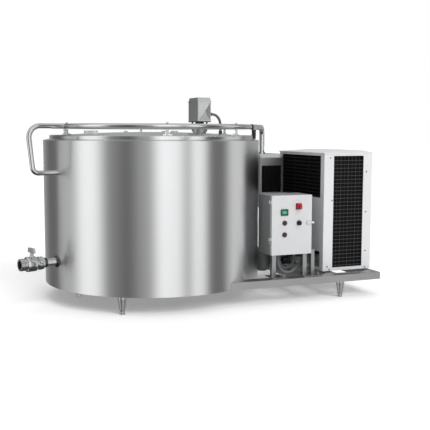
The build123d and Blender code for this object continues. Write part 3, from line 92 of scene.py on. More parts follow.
def spread(tree, value, low, high):
    """A 0 to 1 pattern mapped to a range."""
    node = tree.nodes.new("ShaderNodeMapRange")
    node.inputs["From Min"].default_value = 0.3
    node.inputs["From Max"].default_value = 0.7
    node.inputs["To Min"].default_value = low
    node.inputs["To Max"].default_value = high
    tree.links.new(value, node.inputs["Value"])
    return node.outputs["Result"]


def tint(tree, value, dark, light):
    """A 0 to 1 pattern as a blend of two colours."""
    node = tree.nodes.new("ShaderNodeMix")
    node.data_type = "RGBA"
    node.inputs["A"].default_value = (*dark, 1)
    node.inputs["B"].default_value = (*light, 1)
    tree.links.new(spread(tree, value, 0, 1), node.inputs["Factor"])
    return node.outputs["Result"]


def bump(tree, shader, value, height):
    """Relief of a height in metres from a 0 to 1 pattern."""
    node = tree.nodes.new("ShaderNodeBump")
    node.inputs["Strength"].default_value = 1
    node.inputs["Distance"].default_value = height
    tree.links.new(value, node.inputs["Height"])
    tree.links.new(node.outputs["Normal"], shader.inputs["Normal"])


def shade(colour, factor):
    return tuple(min(1, channel * factor) for channel in colour)


def steel(name, colour, roughness, grain=(1, 1, 1), scale=60, relief=0.00002, patchy=0.06, smudge=0.03):
    """Stainless steel with a rolled or brushed grain and faint cloudy variation."""
    mat, tree, shader = new_material(name)
    fine = noise(tree, scale, grain, 4)
    broad = noise(tree, 3.1, (1, 1, 0.35), 2)
    shader.inputs["Metallic"].default_value = 1
    tree.links.new(tint(tree, broad, shade(colour, 1 - patchy), shade(colour, 1 + patchy / 2)),
                   shader.inputs["Base Color"])
    tree.links.new(spread(tree, fine, roughness - smudge, roughness + smudge), shader.inputs["Roughness"])
    bump(tree, shader, fine, relief)
    return mat


def paint(name, colour, roughness=0.45, peel=0.00006, metallic=0.0, patchy=0.05, scale=220):
    """Sprayed paint: orange peel, faint patches and a soft sheen."""
    mat, tree, shader = new_material(name)
    fine = noise(tree, scale)
    broad = noise(tree, 4.3, detail=2)
    tree.links.new(tint(tree, broad, shade(colour, 1 - patchy), colour), shader.inputs["Base Color"])
    tree.links.new(spread(tree, fine, roughness - 0.05, roughness + 0.05), shader.inputs["Roughness"])
    shader.inputs["Metallic"].default_value = metallic
    bump(tree, shader, fine, peel)
    return mat


def plastic(name, colour, roughness=0.35, scale=900, relief=0.00003, coat=0.0):
    """Moulded plastic or rubber with a fine texture."""
    mat, tree, shader = new_material(name)
    fine = noise(tree, scale)
    tree.links.new(tint(tree, noise(tree, 25, detail=2), shade(colour, 0.85), colour),
                   shader.inputs["Base Color"])
    tree.links.new(spread(tree, fine, roughness - 0.04, roughness + 0.06), shader.inputs["Roughness"])
    shader.inputs["Coat Weight"].default_value = coat
    bump(tree, shader, fine, relief)
    return mat


def glowing(name, colour, strength):
    """A lit display, with its light uneven as behind a diffuser."""
    mat, tree, shader = new_material(name)
    shader.inputs["Base Color"].default_value = (*shade(colour, 0.4), 1)
    shader.inputs["Roughness"].default_value = 0.25
    tree.links.new(tint(tree, noise(tree, 40), shade(colour, 0.7), colour), shader.inputs["Emission Color"])
    shader.inputs["Emission Strength"].default_value = strength
    return mat


WALL_GRAIN = (1, 1, 14)
wall_steel = steel("wall_steel", (0.74, 0.745, 0.75), 0.3, WALL_GRAIN, 35, 0.000006, 0.03, 0.025)
vessel_steel = steel("vessel_steel", (0.70, 0.705, 0.71), 0.24, WALL_GRAIN, 35, 0.00001, 0.05)
lid_steel = steel("lid_steel", (0.74, 0.745, 0.75), 0.24, (1, 9, 1), 45, 0.00001, 0.04)
polished_steel = steel("polished_steel", (0.66, 0.665, 0.67), 0.16, (1, 1, 1), 55, 0.00001, 0.05)
cast_steel = steel("cast_steel", (0.68, 0.685, 0.69), 0.17, (1, 1, 1), 190, 0.00002, 0.08)
handle_steel = steel("handle_steel", (0.72, 0.725, 0.73), 0.4, (1, 1, 1), 190, 0.00006, 0.08)
grille_grey = paint("grille_grey", (0.04, 0.04, 0.042), 0.5, 0.00004)
# Near-black: the door gasket's own black rubber, and painted shade on the pleated sheet behind the side
# grille
gasket_black_and_shade = plastic("gasket_black_and_shade", (0.006, 0.006, 0.006), 0.8, 500, 0.0003)
screw_dark = steel("screw_dark", (0.12, 0.12, 0.125), 0.35, (1, 1, 1), 300, 0.00003, 0.1)
frame_steel = steel("frame_steel", (0.42, 0.42, 0.425), 0.42, (0.06, 1, 1), 160, 0.00003, 0.08)
# The stand's steel, darkened as painted shade for the legs in the shade under the control box
stand_steel = steel("stand_steel", (0.36, 0.365, 0.37), 0.36, (1, 1, 0.1), 160, 0.00002, 0.06)
hood_steel = steel("hood_steel", (0.62, 0.625, 0.63), 0.34, (1, 1, 6), 120, 0.00002, 0.05)
case_steel = steel("case_steel", (0.62, 0.625, 0.63), 0.36, (1, 1, 8), 90, 0.00002, 0.05)
bead_steel = steel("bead_steel", (0.5, 0.505, 0.51), 0.33, (1, 1, 1), 420, 0.0002, 0.12)
foot_steel = steel("foot_steel", (0.5, 0.505, 0.51), 0.3, (1, 1, 1), 150, 0.00003, 0.1)
zinc_steel = steel("zinc_steel", (0.62, 0.61, 0.58), 0.4, (1, 1, 1), 60, 0.00002, 0.14)
wire_steel = steel("wire_steel", (0.4, 0.4, 0.4), 0.4, (1, 1, 1), 200, 0.00002, 0.08)
fin_metal = paint("fin_metal", (0.006, 0.006, 0.0065), 0.6, 0.00003)
blade_metal = steel("blade_metal", (0.45, 0.455, 0.46), 0.42, (1, 1, 1), 90, 0.00002, 0.08)
cabinet_paint = paint("cabinet_paint", (0.83, 0.835, 0.85), 0.42)
door_paint = paint("door_paint", (0.72, 0.73, 0.735), 0.38, 0.00005)
# The control box's own grey paint, darkened further as painted shade for its unlit left side
box_paint = paint("box_paint", (0.3, 0.305, 0.31), 0.4, 0.00005)
mesh_black = paint("mesh_black", (0.02, 0.02, 0.022), 0.55, 0.00005)
motor_black = paint("motor_black", (0.035, 0.035, 0.038), 0.4, 0.0001)
compressor_black = paint("compressor_black", (0.015, 0.015, 0.016), 0.35, 0.00008)
receiver_grey = paint("receiver_grey", (0.2, 0.205, 0.21), 0.35, 0.00005)
gear_grey = paint("gear_grey", (0.02, 0.021, 0.022), 0.4, 0.00012)
wash_black = plastic("wash_black", (0.005, 0.005, 0.006), 0.5)
switch_black = plastic("switch_black", (0.018, 0.018, 0.02), 0.34)
knob_red = plastic("knob_red", (0.62, 0.012, 0.016), 0.3, coat=0.3)
button_maroon = plastic("button_maroon", (0.06, 0.006, 0.014), 0.3, coat=0.3)
bezel_green = plastic("bezel_green", (0.006, 0.045, 0.028), 0.35)
gland_plastic = plastic("gland_plastic", (0.04, 0.04, 0.044), 0.4)
hose_rubber = plastic("hose_rubber", (0.21, 0.215, 0.22), 0.42, 260, 0.0001)
conduit_rubber = plastic("conduit_rubber", (0.16, 0.165, 0.17), 0.4, 260, 0.0001)
foam_yellow = plastic("foam_yellow", (0.78, 0.66, 0.36), 0.85, 160, 0.0006)
terminal_grey = plastic("terminal_grey", (0.3, 0.31, 0.32), 0.45)
screen_green = glowing("screen_green", (0.06, 0.34, 0.24), 0.45)
digit_green = glowing("digit_green", (0.35, 0.9, 0.62), 0.6)

# Deep openings hardly shine
for dull in (fin_metal, gasket_black_and_shade, wash_black, mesh_black):
    dull.node_tree.nodes["Principled BSDF"].inputs["Specular IOR Level"].default_value = 0.12

FINISHES = {
    wall_steel: ("outer_jacket",),
    vessel_steel: ("inner_vessel", "evaporator_plates", "agitator_shaft", "agitator_paddle"),
    lid_steel: ("front_lid", "rear_lid", "bridge"),
    polished_steel: (
        "rim_ring", "wash_ring", "wash_loop", "wash_riser", "ring_stanchions", "spray_heads", "dipstick",
        "outlet_pipe",
    ),
    cast_steel: ("outlet_union_nut", "valve_body", "valve_disc"),
    handle_steel: ("valve_handle",),
    frame_steel: ("base_beams", "cross_beams", "agitator_flange"),
    foot_steel: (
        "foot_sockets", "foot_screw_1", "foot_screw_2", "foot_screw_3", "foot_screw_4", "foot_screw_5",
    ),
    stand_steel: ("box_stand",),
    hood_steel: ("agitator_hood",),
    case_steel: ("wash_unit_case",),
    zinc_steel: ("mounting_plate",),
    fin_metal: ("condenser_coil",),
    blade_metal: ("fan_rotor_upper", "fan_rotor_lower"),
    cabinet_paint: ("cabinet_frame", "cabinet_panels"),
    door_paint: ("control_box_door", "door_latch"),
    box_paint: ("control_box",),
    grille_grey: ("front_grille",),
    mesh_black: ("side_grille", "fan_shroud"),
    motor_black: ("fan_motors",),
    compressor_black: ("compressor",),
    receiver_grey: ("liquid_receiver",),
    gear_grey: ("agitator_gearmotor",),
    wash_black: ("wash_unit_front",),
    bezel_green: ("temperature_controller",),
    switch_black: ("switch_collars", "selector_knob"),
    knob_red: ("main_switch_knob",),
    button_maroon: ("push_button_upper", "push_button_lower"),
    gland_plastic: ("conduit_glands",),
    hose_rubber: ("supply_hose_outer", "supply_hose_inner"),
    conduit_rubber: ("motor_conduit",),
    foam_yellow: ("insulation_foam",),
}
for finish, names in FINISHES.items():
    for node_name in names:
        nodes[node_name].data.materials.clear()
        nodes[node_name].data.materials.append(finish)


def brush_round(mat):
    """Brushes a metal round its vertical axis, so that reflections blur up and down."""
    tree = mat.node_tree
    shader = tree.nodes["Principled BSDF"]
    shader.inputs["Anisotropic"].default_value = 0.8
    shader.inputs["Anisotropic Rotation"].default_value = 0.25
    tangent = tree.nodes.new("ShaderNodeTangent")
    tangent.direction_type = "RADIAL"
    tangent.axis = "Z"
    tree.links.new(tangent.outputs[0], shader.inputs["Tangent"])


brush_round(wall_steel)

# Sharp sheet edges catch the light: a small bevel on the flat-sided nodes
EDGE_RADII = {
    "control_box": 0.0012, "control_box_door": 0.0018, "cabinet_frame": 0.0012,
    "cabinet_panels": 0.0016, "box_stand": 0.0012, "wash_unit_case": 0.0012, "valve_handle": 0.002,
    "door_latch": 0.0012, "temperature_controller": 0.0008, "selector_knob": 0.001,
    "main_switch_knob": 0.0014, "base_beams": 0.0025,
}
for node_name, edge in EDGE_RADII.items():
    joined = nodes[node_name].modifiers.new("joined", "WELD")
    joined.merge_threshold = 0.00001
    rounded = nodes[node_name].modifiers.new("rounded", "BEVEL")
    rounded.width = edge
    rounded.segments = 2
    rounded.limit_method = "ANGLE"
    rounded.angle_limit = radians(50)
    rounded.harden_normals = True

# Mesh helpers


def add_piece(name, bm, mat, body="root", crease=35):
    """The bmesh as a named piece that rides on a body."""
    mesh = finish_mesh(name, bm, crease)
    piece = bpy.data.objects.new(name, mesh)
    bpy.context.scene.collection.objects.link(piece)
    mesh.materials.append(mat)
    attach(piece, body)
    return piece


def finish_mesh(name, bm, crease=35):
    """The bmesh as a mesh, smooth but for edges sharper than a crease angle."""
    bmesh.ops.recalc_face_normals(bm, faces=bm.faces)
    for face in bm.faces:
        face.smooth = True
    for edge in bm.edges:
        if len(edge.link_faces) == 2 and edge.calc_face_angle() > radians(crease):
            edge.smooth = False
    mesh = bpy.data.meshes.new(name)
    bm.to_mesh(mesh)
    bm.free()
    return mesh


def axes(direction):
    """Two unit vectors square to a direction."""
    along = direction.normalized()
    side = Vector((0, 0, 1)) if abs(along.z) < 0.9 else Vector((1, 0, 0))
    first = along.cross(side).normalized()
    return along, first, along.cross(first)


def turned(bm, profile, start, direction, segments=32, notch=None):
    """Turns (distance, radius) points about an axis from start.

    A zero radius closes an end, and notch says how far the surface steps in at a distance and angle.
    """
    along, first, second = axes(Vector(direction))
    rings = []
    for distance, radius in profile:
        centre = Vector(start) + along * distance
        if radius <= 0:
            rings.append([bm.verts.new(centre)])
            continue
        circle = []
        for step in range(segments):
            angle = 2 * pi * step / segments
            reach = radius - (notch(distance, angle) if notch else 0)
            place = centre + first * (reach * cos(angle)) + second * (reach * sin(angle))
            circle.append(bm.verts.new(place))
        rings.append(circle)
    for low, high in zip(rings, rings[1:]):
        for step in range(segments):
            follow = (step + 1) % segments
            corners = [
                low[step % len(low)], low[follow % len(low)],
                high[follow % len(high)], high[step % len(high)],
            ]
            corners = [v for i, v in enumerate(corners) if v not in corners[:i]]
            if len(corners) > 2:
                bm.faces.new(corners)


def block(bm, low, high, edge=0.0):
    """A box between two corners, with rounded edges where edge is given."""
    size = [b - a for a, b in zip(low, high)]
    centre = [(a + b) / 2 for a, b in zip(low, high)]
    made = bmesh.ops.create_cube(bm, size=1)["verts"]
    bmesh.ops.scale(bm, vec=size, verts=made)
    bmesh.ops.translate(bm, vec=centre, verts=made)
    if edge:
        edges = {e for v in made for e in v.link_edges}
        bmesh.ops.bevel(bm, geom=list(edges), offset=edge, segments=2, affect="EDGES", profile=0.5)


def bolt(bm, place, direction, radius, height, sides=6):
    """A hexagon head with chamfered corners on a washer."""
    washer = height * 0.2
    turned(bm, [(0, 0), (0, radius * 1.25), (washer, radius * 1.25), (washer, 0)], place, direction, 24)
    turned(bm, [(washer, 0), (washer, radius), (height * 0.88, radius), (height, radius * 0.84), (height, 0)],
           place, direction, sides)


def screw(bm, place, direction, radius):
    """A pan-head screw with a dished top and a recess."""
    turned(bm, [(0, 0), (0, radius), (radius * 0.3, radius), (radius * 0.6, radius * 0.72),
                (radius * 0.68, radius * 0.35), (radius * 0.3, radius * 0.28), (radius * 0.3, 0)],
           place, direction, 20)


def ring(bm, centre, direction, radius, thickness, segments=48, sides=8):
    """A round bead or wire bent into a ring."""
    along, first, second = axes(Vector(direction))
    loops = []
    for step in range(segments):
        angle = 2 * pi * step / segments
        out = first * cos(angle) + second * sin(angle)
        loops.append([
            bm.verts.new(Vector(centre) + out * (radius + thickness * cos(2 * pi * k / sides))
                         + along * (thickness * sin(2 * pi * k / sides)))
            for k in range(sides)
        ])
    for step in range(segments):
        here, there = loops[step], loops[(step + 1) % segments]
        for k in range(sides):
            bm.faces.new([here[k], here[(k + 1) % sides], there[(k + 1) % sides], there[k]])


def wire(bm, start, end, radius, sides=6):
    """A straight wire with closed ends."""
    reach = (Vector(end) - Vector(start)).length
    turned(bm, [(0, 0), (0, radius), (reach, radius), (reach, 0)], start, Vector(end) - Vector(start), sides)


# Camera, at the photograph's place and angle
CAMERA_PLACE = (-1.8304, -5.153, 1.1167)
CAMERA_YAW = radians(21.83)
CAMERA_DIP = radians(6.08)
CAMERA_ROLL = radians(0.16)
CAMERA_LENS = 64.51
SENSOR = 36
camera_data = bpy.data.cameras.new("camera")
camera_data.lens = CAMERA_LENS
camera_data.sensor_width = SENSOR
camera_data.clip_end = 200
camera = bpy.data.objects.new("camera", camera_data)
bpy.context.scene.collection.objects.link(camera)
look = Vector((sin(CAMERA_YAW) * cos(CAMERA_DIP), cos(CAMERA_YAW) * cos(CAMERA_DIP), -sin(CAMERA_DIP)))
level_right = Vector((cos(CAMERA_YAW), -sin(CAMERA_YAW), 0))
level_up = level_right.cross(look)
right = level_right * cos(CAMERA_ROLL) + level_up * sin(CAMERA_ROLL)
up = level_up * cos(CAMERA_ROLL) - level_right * sin(CAMERA_ROLL)
turn = Matrix((right, up, -look)).transposed()
camera.matrix_world = Matrix.Translation(CAMERA_PLACE) @ turn.to_4x4()
bpy.context.scene.camera = camera

# Hoses and conduit: the same points as the solids, from the tank's axis in millimetres
HOSE_ROUTES = {
    "supply_hose_outer": (-480, (
        (741, 285), (741, 248), (752, 206), (783, 172), (828, 161), (870, 181), (907, 213), (931, 252),
        (931, 285),
    )),
    "supply_hose_inner": (-432, (
        (776, 285), (776, 250), (785, 213), (813, 187), (851, 186), (880, 212), (893, 250), (893, 285),
    )),
    "motor_conduit": (-60, (
        (417, 1247), (434, 1247), (451, 1241), (467, 1229), (479, 1211), (486, 1189), (488, 1160),
        (488, 1131),
    )),
}
HOSE_FACTS = {
    "supply_hose_outer": (0.022, 0.342, hose_rubber, "hose_grey", "medium"),
    "supply_hose_inner": (0.022, 0.258, hose_rubber, "hose_grey", "medium"),
    "motor_conduit": (0.018, 0.157, conduit_rubber, "conduit_grey", "medium"),
}
for node_name, (row_y, points) in HOSE_ROUTES.items():
    width, length, mat, slot_name, stiffness = HOSE_FACTS[node_name]
    curve = bpy.data.curves.new(node_name + "_curve", "CURVE")
    curve.dimensions = "3D"
    spline = curve.splines.new("NURBS")
    spline.points.add(len(points) - 1)
    route = [Vector((TANK.x + x * MM, row_y * MM, z * MM)) for x, z in points]
    for control, place in zip(spline.points, route):
        control.co = (*place, 1)
    spline.order_u = 3
    spline.use_endpoint_u = True
    spline.resolution_u = 12
    curve.bevel_depth = width / 2
    curve.bevel_resolution = 6
    curve.use_fill_caps = True
    curve.materials.append(mat)
    cord = bpy.data.objects.new(node_name + "_cord", curve)
    bpy.context.scene.collection.objects.link(cord)
    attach(cord, "root")
    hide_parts(node_name)

# Outlet: turned valve body and union nut with their grooves, and two collars on the pipe
UPWARDS = Vector((0, 0, 1))
OUTLET_HEIGHT = 0.2885
OUTLET_BORE = 0.025
OUTLET_TUBE = 0.027
OUTLET_WAY = Vector((cos(OUTLET_ANGLE), sin(OUTLET_ANGLE), 0))
VALVE_REACH = 0.911
BOSS_FOOT = 0.036
STEM_BORE = 0.0062
THREAD_START = 0.962
THREAD_PITCH = 0.004
THREAD_TURNS = 7
THREAD_ROOT = 0.0368
THREAD_CREST = 0.039
NOTCH_START, NOTCH_END = 0.855, 0.8715
NOTCH_DEPTH = 0.0045
NOTCHES = 6
SAME_PLACE = 0.000001


def closed_turning(bm, outside, bore, way=OUTLET_WAY, start=None, segments=64, notch=None):
    """A turned tube: the outside profile, closed through its bore."""
    profile = [(outside[0][0], bore), *outside, (outside[-1][0], bore), (outside[0][0], bore)]
    turned(bm, profile, start or around_tank(0, 0, OUTLET_HEIGHT), way, segments, notch=notch)
    bmesh.ops.remove_doubles(bm, verts=bm.verts, dist=SAME_PLACE)


def nut_notch(distance, angle):
    """How far the union nut's spanner notches step into its wide ring."""
    if NOTCH_START < distance < NOTCH_END:
        return NOTCH_DEPTH * max(0, cos(NOTCHES * angle)) ** 10
    return 0


thread = []
for turn_number in range(THREAD_TURNS):
    along = THREAD_START + turn_number * THREAD_PITCH
    thread += [(along, THREAD_ROOT), (along + 0.0014, THREAD_CREST), (along + 0.0026, THREAD_CREST)]
body_profile = [
    (0.872, 0.033), (0.8735, 0.033), (0.875, 0.0305), (0.881, 0.0305), (0.884, 0.034), (0.886, 0.043),
    (0.889, 0.0465), (0.893, 0.048), (0.929, 0.048), (0.931, 0.0465), (0.9315, 0.0425), (0.9345, 0.0425),
    (0.935, 0.0465), (0.937, 0.048), (0.946, 0.048), (0.949, 0.0465), (0.951, 0.04), (0.953, 0.0355),
    (0.96, 0.0355), *thread, (0.991, 0.039), (0.993, 0.0375),
]
boss = [(0.0, 0.018), (0.008, 0.016), (0.012, 0.0125), (0.021, 0.012), (0.022, 0.011)]
boss_place = around_tank(OUTLET_ANGLE, VALVE_REACH, OUTLET_HEIGHT + BOSS_FOOT)
bm = bmesh.new()
closed_turning(bm, body_profile, OUTLET_BORE)
closed_turning(bm, boss, STEM_BORE, UPWARDS, boss_place, 32)
valve_body = add_piece("valve_body_turned", bm, cast_steel)
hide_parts("valve_body")

nut_profile = [
    (0.832, 0.033), (0.8345, 0.037), (0.838, 0.0395), (0.8405, 0.039), (0.842, 0.0375), (0.844, 0.038),
    (0.8445, 0.0405), (0.8465, 0.042), (0.85, 0.0415), (0.852, 0.0395), (0.8535, 0.0385), (0.8545, 0.0395),
    (0.8565, 0.042), (0.862, 0.043), (0.868, 0.0425), (0.8715, 0.0395), (0.872, 0.036),
]
bm = bmesh.new()
closed_turning(bm, nut_profile, OUTLET_TUBE, segments=96, notch=nut_notch)
union_nut = add_piece("union_nut_turned", bm, cast_steel)
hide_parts("outlet_union_nut")

wall_collar = [
    (0.7385, 0.0385), (0.743, 0.0385), (0.7455, 0.037), (0.748, 0.0315), (0.752, 0.0285), (0.755, 0.0273),
]
ferrule = [(0.812, 0.0275), (0.813, 0.03), (0.816, 0.0315), (0.821, 0.0305), (0.824, 0.0315), (0.831, 0.0315)]
bm = bmesh.new()
closed_turning(bm, wall_collar, OUTLET_TUBE)
closed_turning(bm, ferrule, OUTLET_TUBE)
add_piece("outlet_collars", bm, screw_dark)

# Weld bead where the loop goes back through the wall
LOOP_RETURN = 0.864
LOOP_WAY = Vector((cos(LOOP_ANGLE), sin(LOOP_ANGLE), 0))
WELD_OUT = 0.0006
WELD_RADIUS = 0.0168
WELD_THICKNESS = 0.0022
bm = bmesh.new()
weld_place = around_tank(LOOP_ANGLE, JACKET_RADIUS + WELD_OUT, LOOP_RETURN)
ring(bm, weld_place, LOOP_WAY, WELD_RADIUS, WELD_THICKNESS)
add_piece("loop_weld", bm, bead_steel)

# Ridged rubber sleeve on the post, narrower where it passes the rim
POST_PLACE = Vector((TANK.x + 0.68174, -0.20536, 1.076))
SLEEVE_BORE = 0.0119
sleeve = [
    (0, 0.013), (0.001, 0.0137), (0.0265, 0.0137), (0.0275, 0.0155), (0.034, 0.0155), (0.035, 0.0142),
    (0.05, 0.0142), (0.051, 0.0155), (0.06, 0.0155), (0.062, 0.0145),
]
bm = bmesh.new()
closed_turning(bm, sleeve, SLEEVE_BORE, UPWARDS, POST_PLACE, 32)
add_piece("post_sleeve", bm, switch_black)

# Cabinet screws: as (x, z) on the front, and in two rows on the right side
CABINET_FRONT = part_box("cabinet_frame")[0].y
CABINET_RIGHT, CABINET_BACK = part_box("cabinet_frame")[1].x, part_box("cabinet_frame")[1].y
FRONT_SCREWS = (
    (0.8645, 0.9485), (0.8818, 0.6558), (0.852, 0.1968), (0.8685, 0.1755), (1.1531, 0.851), (1.1535, 0.5701),
    (1.1569, 0.2937), (1.1553, 0.1765),
)
SIDE_SCREW_HEIGHTS = (0.22, 0.48, 0.74, 0.93)
SIDE_SCREW_ROWS = (-0.521, 0.104)
CABINET_SCREW = 0.005
bm = bmesh.new()
for screw_x, screw_z in FRONT_SCREWS:
    screw(bm, (screw_x, CABINET_FRONT, screw_z), (0, -1, 0), CABINET_SCREW)
for screw_z in SIDE_SCREW_HEIGHTS:
    for screw_y in SIDE_SCREW_ROWS:
        screw(bm, (CABINET_RIGHT, screw_y, screw_z), (1, 0, 0), CABINET_SCREW)
add_piece("cabinet_screws", bm, screw_dark)

# Thin upright wires in the front grille
GRILLE_LEFT, GRILLE_RIGHT = 0.89264, 1.12864
GRILLE_BOTTOM, GRILLE_TOP = 0.188, 0.962
GRILLE_SPACES = 8
WIRE_DEPTH = 0.006
WIRE_LAP = 0.004
WIRE_RADIUS = 0.001
bm = bmesh.new()
wire_y = CABINET_FRONT + WIRE_DEPTH
wire_bottom, wire_top = GRILLE_BOTTOM - WIRE_LAP, GRILLE_TOP + WIRE_LAP
for number in range(1, GRILLE_SPACES):
    wire_x = GRILLE_LEFT + number * (GRILLE_RIGHT - GRILLE_LEFT) / GRILLE_SPACES
    wire(bm, (wire_x, wire_y, wire_bottom), (wire_x, wire_y, wire_top), WIRE_RADIUS, 8)
add_piece("grille_wires", bm, grille_grey)

# Pleated near-black sheet behind the side grille, held by a batten at each end: painted shade for the dark
# inside of the cabinet
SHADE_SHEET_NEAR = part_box("side_grille")[1].x - 0.0003
SHADE_SHEET_FRONT, SHADE_SHEET_BACK = -0.505, 0.088
SHADE_SHEET_BOTTOM, SHADE_SHEET_TOP = 0.674, 0.968
PLEATS = 48
SHADE_SHEET_PLEAT_DEPTH = 0.007
SHADE_SHEET_THICKNESS = 0.0015
BATTEN_WIDTH = 0.008
BATTEN_HALF = 0.0019
BATTEN_EDGE = 0.0003
bm = bmesh.new()
columns = []
for step in range(2 * PLEATS + 1):
    pleat_y = SHADE_SHEET_FRONT + step * (SHADE_SHEET_BACK - SHADE_SHEET_FRONT) / (2 * PLEATS)
    near = SHADE_SHEET_NEAR + (SHADE_SHEET_PLEAT_DEPTH if step % 2 else 0)
    columns.append([
        bm.verts.new((face_x, pleat_y, face_z))
        for face_x, face_z in (
            (near, SHADE_SHEET_BOTTOM), (near, SHADE_SHEET_TOP), (near + SHADE_SHEET_THICKNESS, SHADE_SHEET_TOP),
            (near + SHADE_SHEET_THICKNESS, SHADE_SHEET_BOTTOM),
        )
    ])
for here, there in zip(columns, columns[1:]):
    for k in range(4):
        bm.faces.new([here[k], here[(k + 1) % 4], there[(k + 1) % 4], there[k]])
bm.faces.new(columns[0])
bm.faces.new(columns[-1])
for batten in (SHADE_SHEET_FRONT, SHADE_SHEET_BACK - BATTEN_WIDTH):
    low = (SHADE_SHEET_NEAR - BATTEN_HALF, batten, SHADE_SHEET_BOTTOM)
    high = (SHADE_SHEET_NEAR + BATTEN_HALF, batten + BATTEN_WIDTH, SHADE_SHEET_TOP)
    block(bm, low, high, BATTEN_EDGE)
add_piece("side_shade_sheet", bm, gasket_black_and_shade, crease=20)

# Wire guards over the fans, clamped to the shroud
FAN_X = middle("fan_shroud").x
FAN_HEIGHTS = (0.375, 0.765)
SHROUD_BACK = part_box("fan_shroud")[1].y
GUARD_STEP = 0.0145
GUARD_RINGS = 11
GUARD_LIFT = 0.0007
GUARD_WIRE = 0.0011
SPOKE_LIFT = 0.003
SPOKE_WIRE = 0.0016
CLAMP_OUT = 0.003
CLAMP_RADIUS = 0.005
CLAMP_RISE = 0.005
CLAMP_SINK = 0.0003
bm = bmesh.new()
for fan_z in FAN_HEIGHTS:
    for number in range(1, GUARD_RINGS + 1):
        ring(bm, (FAN_X, CABINET_BACK + GUARD_LIFT, fan_z), (0, 1, 0), number * GUARD_STEP, GUARD_WIRE, 64, 6)
    for angle in (45, 135, 225, 315):
        spoke = Vector((cos(radians(angle)), 0, sin(radians(angle))))
        hub = Vector((FAN_X, CABINET_BACK + SPOKE_LIFT, fan_z))
        wire(bm, hub + spoke * GUARD_STEP, hub + spoke * GUARD_STEP * GUARD_RINGS, SPOKE_WIRE, 8)
        clamp_reach = GUARD_STEP * GUARD_RINGS + CLAMP_OUT
        clamp = Vector((FAN_X, SHROUD_BACK - CLAMP_SINK, fan_z)) + spoke * clamp_reach
        bolt(bm, clamp, (0, 1, 0), CLAMP_RADIUS, CABINET_BACK + CLAMP_RISE - SHROUD_BACK)
add_piece("fan_guards", bm, wire_steel)

# Lit display of the temperature controller, with two seven-segment digits
DOOR_WIDTH = 0.3
BOX_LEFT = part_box("control_box_door")[1].x - DOOR_WIDTH
DOOR_FRONT = -0.575
DOOR_BOTTOM, DOOR_TOP = 0.303, 0.703
DISPLAY_X, DISPLAY_Z = BOX_LEFT + 0.092, DOOR_BOTTOM + 0.287
SCREEN_WIDE, SCREEN_HIGH = 0.0193, 0.0118
SCREEN_FRONT, SCREEN_BACK = 0.0062, 0.005
SCREEN_EDGE = 0.0004
bm = bmesh.new()
block(bm, (DISPLAY_X - SCREEN_WIDE, DOOR_FRONT - SCREEN_FRONT, DISPLAY_Z - SCREEN_HIGH),
      (DISPLAY_X + SCREEN_WIDE, DOOR_FRONT - SCREEN_BACK, DISPLAY_Z + SCREEN_HIGH), SCREEN_EDGE)
add_piece("display_screen", bm, screen_green, "control_box_door")

DIGIT_FRONT, DIGIT_BACK = 0.0066, 0.0061
DIGIT_HEIGHT = 0.014
DIGIT_WIDTH = 0.0075
STROKE = 0.0014
DIGITS = ((-0.0125, "fgbc"), (0.001, "abcdef"))
SEGMENTS = {
    "a": (0, 1, 1, 1), "b": (1, 0.5, 1, 1), "c": (1, 0, 1, 0.5), "d": (0, 0, 1, 0), "e": (0, 0, 0, 0.5),
    "f": (0, 0.5, 0, 1), "g": (0, 0.5, 1, 0.5),
}
bm = bmesh.new()
for digit_x, lit in DIGITS:
    left, bottom = DISPLAY_X + digit_x, DISPLAY_Z - DIGIT_HEIGHT / 2
    for name in lit:
        x0, z0, x1, z1 = SEGMENTS[name]
        low = (
            left + x0 * DIGIT_WIDTH - STROKE / 2,
            DOOR_FRONT - DIGIT_FRONT,
            bottom + z0 * DIGIT_HEIGHT - STROKE / 2,
        )
        high = (
            left + x1 * DIGIT_WIDTH + STROKE / 2,
            DOOR_FRONT - DIGIT_BACK,
            bottom + z1 * DIGIT_HEIGHT + STROKE / 2,
        )
        block(bm, low, high)
add_piece("display_digits", bm, digit_green, "control_box_door")

# Gasket inside the door's lip
GASKET = 0.011
LIP = 0.0013
GASKET_FRONT, GASKET_BACK = -0.556, -0.5475
GASKET_EDGE = 0.0006
lip_left, lip_right = BOX_LEFT + LIP, BOX_LEFT + DOOR_WIDTH - LIP
lip_bottom, lip_top = DOOR_BOTTOM + LIP, DOOR_TOP - LIP
bm = bmesh.new()
for low, high in (
    ((lip_left, lip_bottom), (lip_right, lip_bottom + GASKET)),
    ((lip_left, lip_top - GASKET), (lip_right, lip_top)),
    ((lip_left, lip_bottom + GASKET), (lip_left + GASKET, lip_top - GASKET)),
    ((lip_right - GASKET, lip_bottom + GASKET), (lip_right, lip_top - GASKET)),
):
    block(bm, (low[0], GASKET_FRONT, low[1]), (high[0], GASKET_BACK, high[1]), GASKET_EDGE)
add_piece("door_gasket", bm, gasket_black_and_shade, "control_box_door")

# Toggles and terminal screws on the three tall switchgear blocks
BREAKER_SHARES = (0.15, 0.32, 0.49)
BREAKER_MIDDLE = 0.075
BREAKER_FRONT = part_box("mounting_plate")[0].y
BREAKER_SCREWS = (0.56, 0.63)
BREAKER_SCREW = 0.004
TOGGLE_HALF = 0.007
TOGGLE_RISE = 0.006
TOGGLE_BOTTOM, TOGGLE_TOP = 0.586, 0.606
TOGGLE_EDGE = 0.0015
bm = bmesh.new()
for share in BREAKER_SHARES:
    toggle_x = BOX_LEFT + (share + BREAKER_MIDDLE) * DOOR_WIDTH
    block(bm, (toggle_x - TOGGLE_HALF, BREAKER_FRONT - TOGGLE_RISE, TOGGLE_BOTTOM),
          (toggle_x + TOGGLE_HALF, BREAKER_FRONT, TOGGLE_TOP), TOGGLE_EDGE)
    for screw_z in BREAKER_SCREWS:
        screw(bm, (toggle_x, BREAKER_FRONT, screw_z), (0, -1, 0), BREAKER_SCREW)
add_piece("breaker_toggles", bm, terminal_grey)

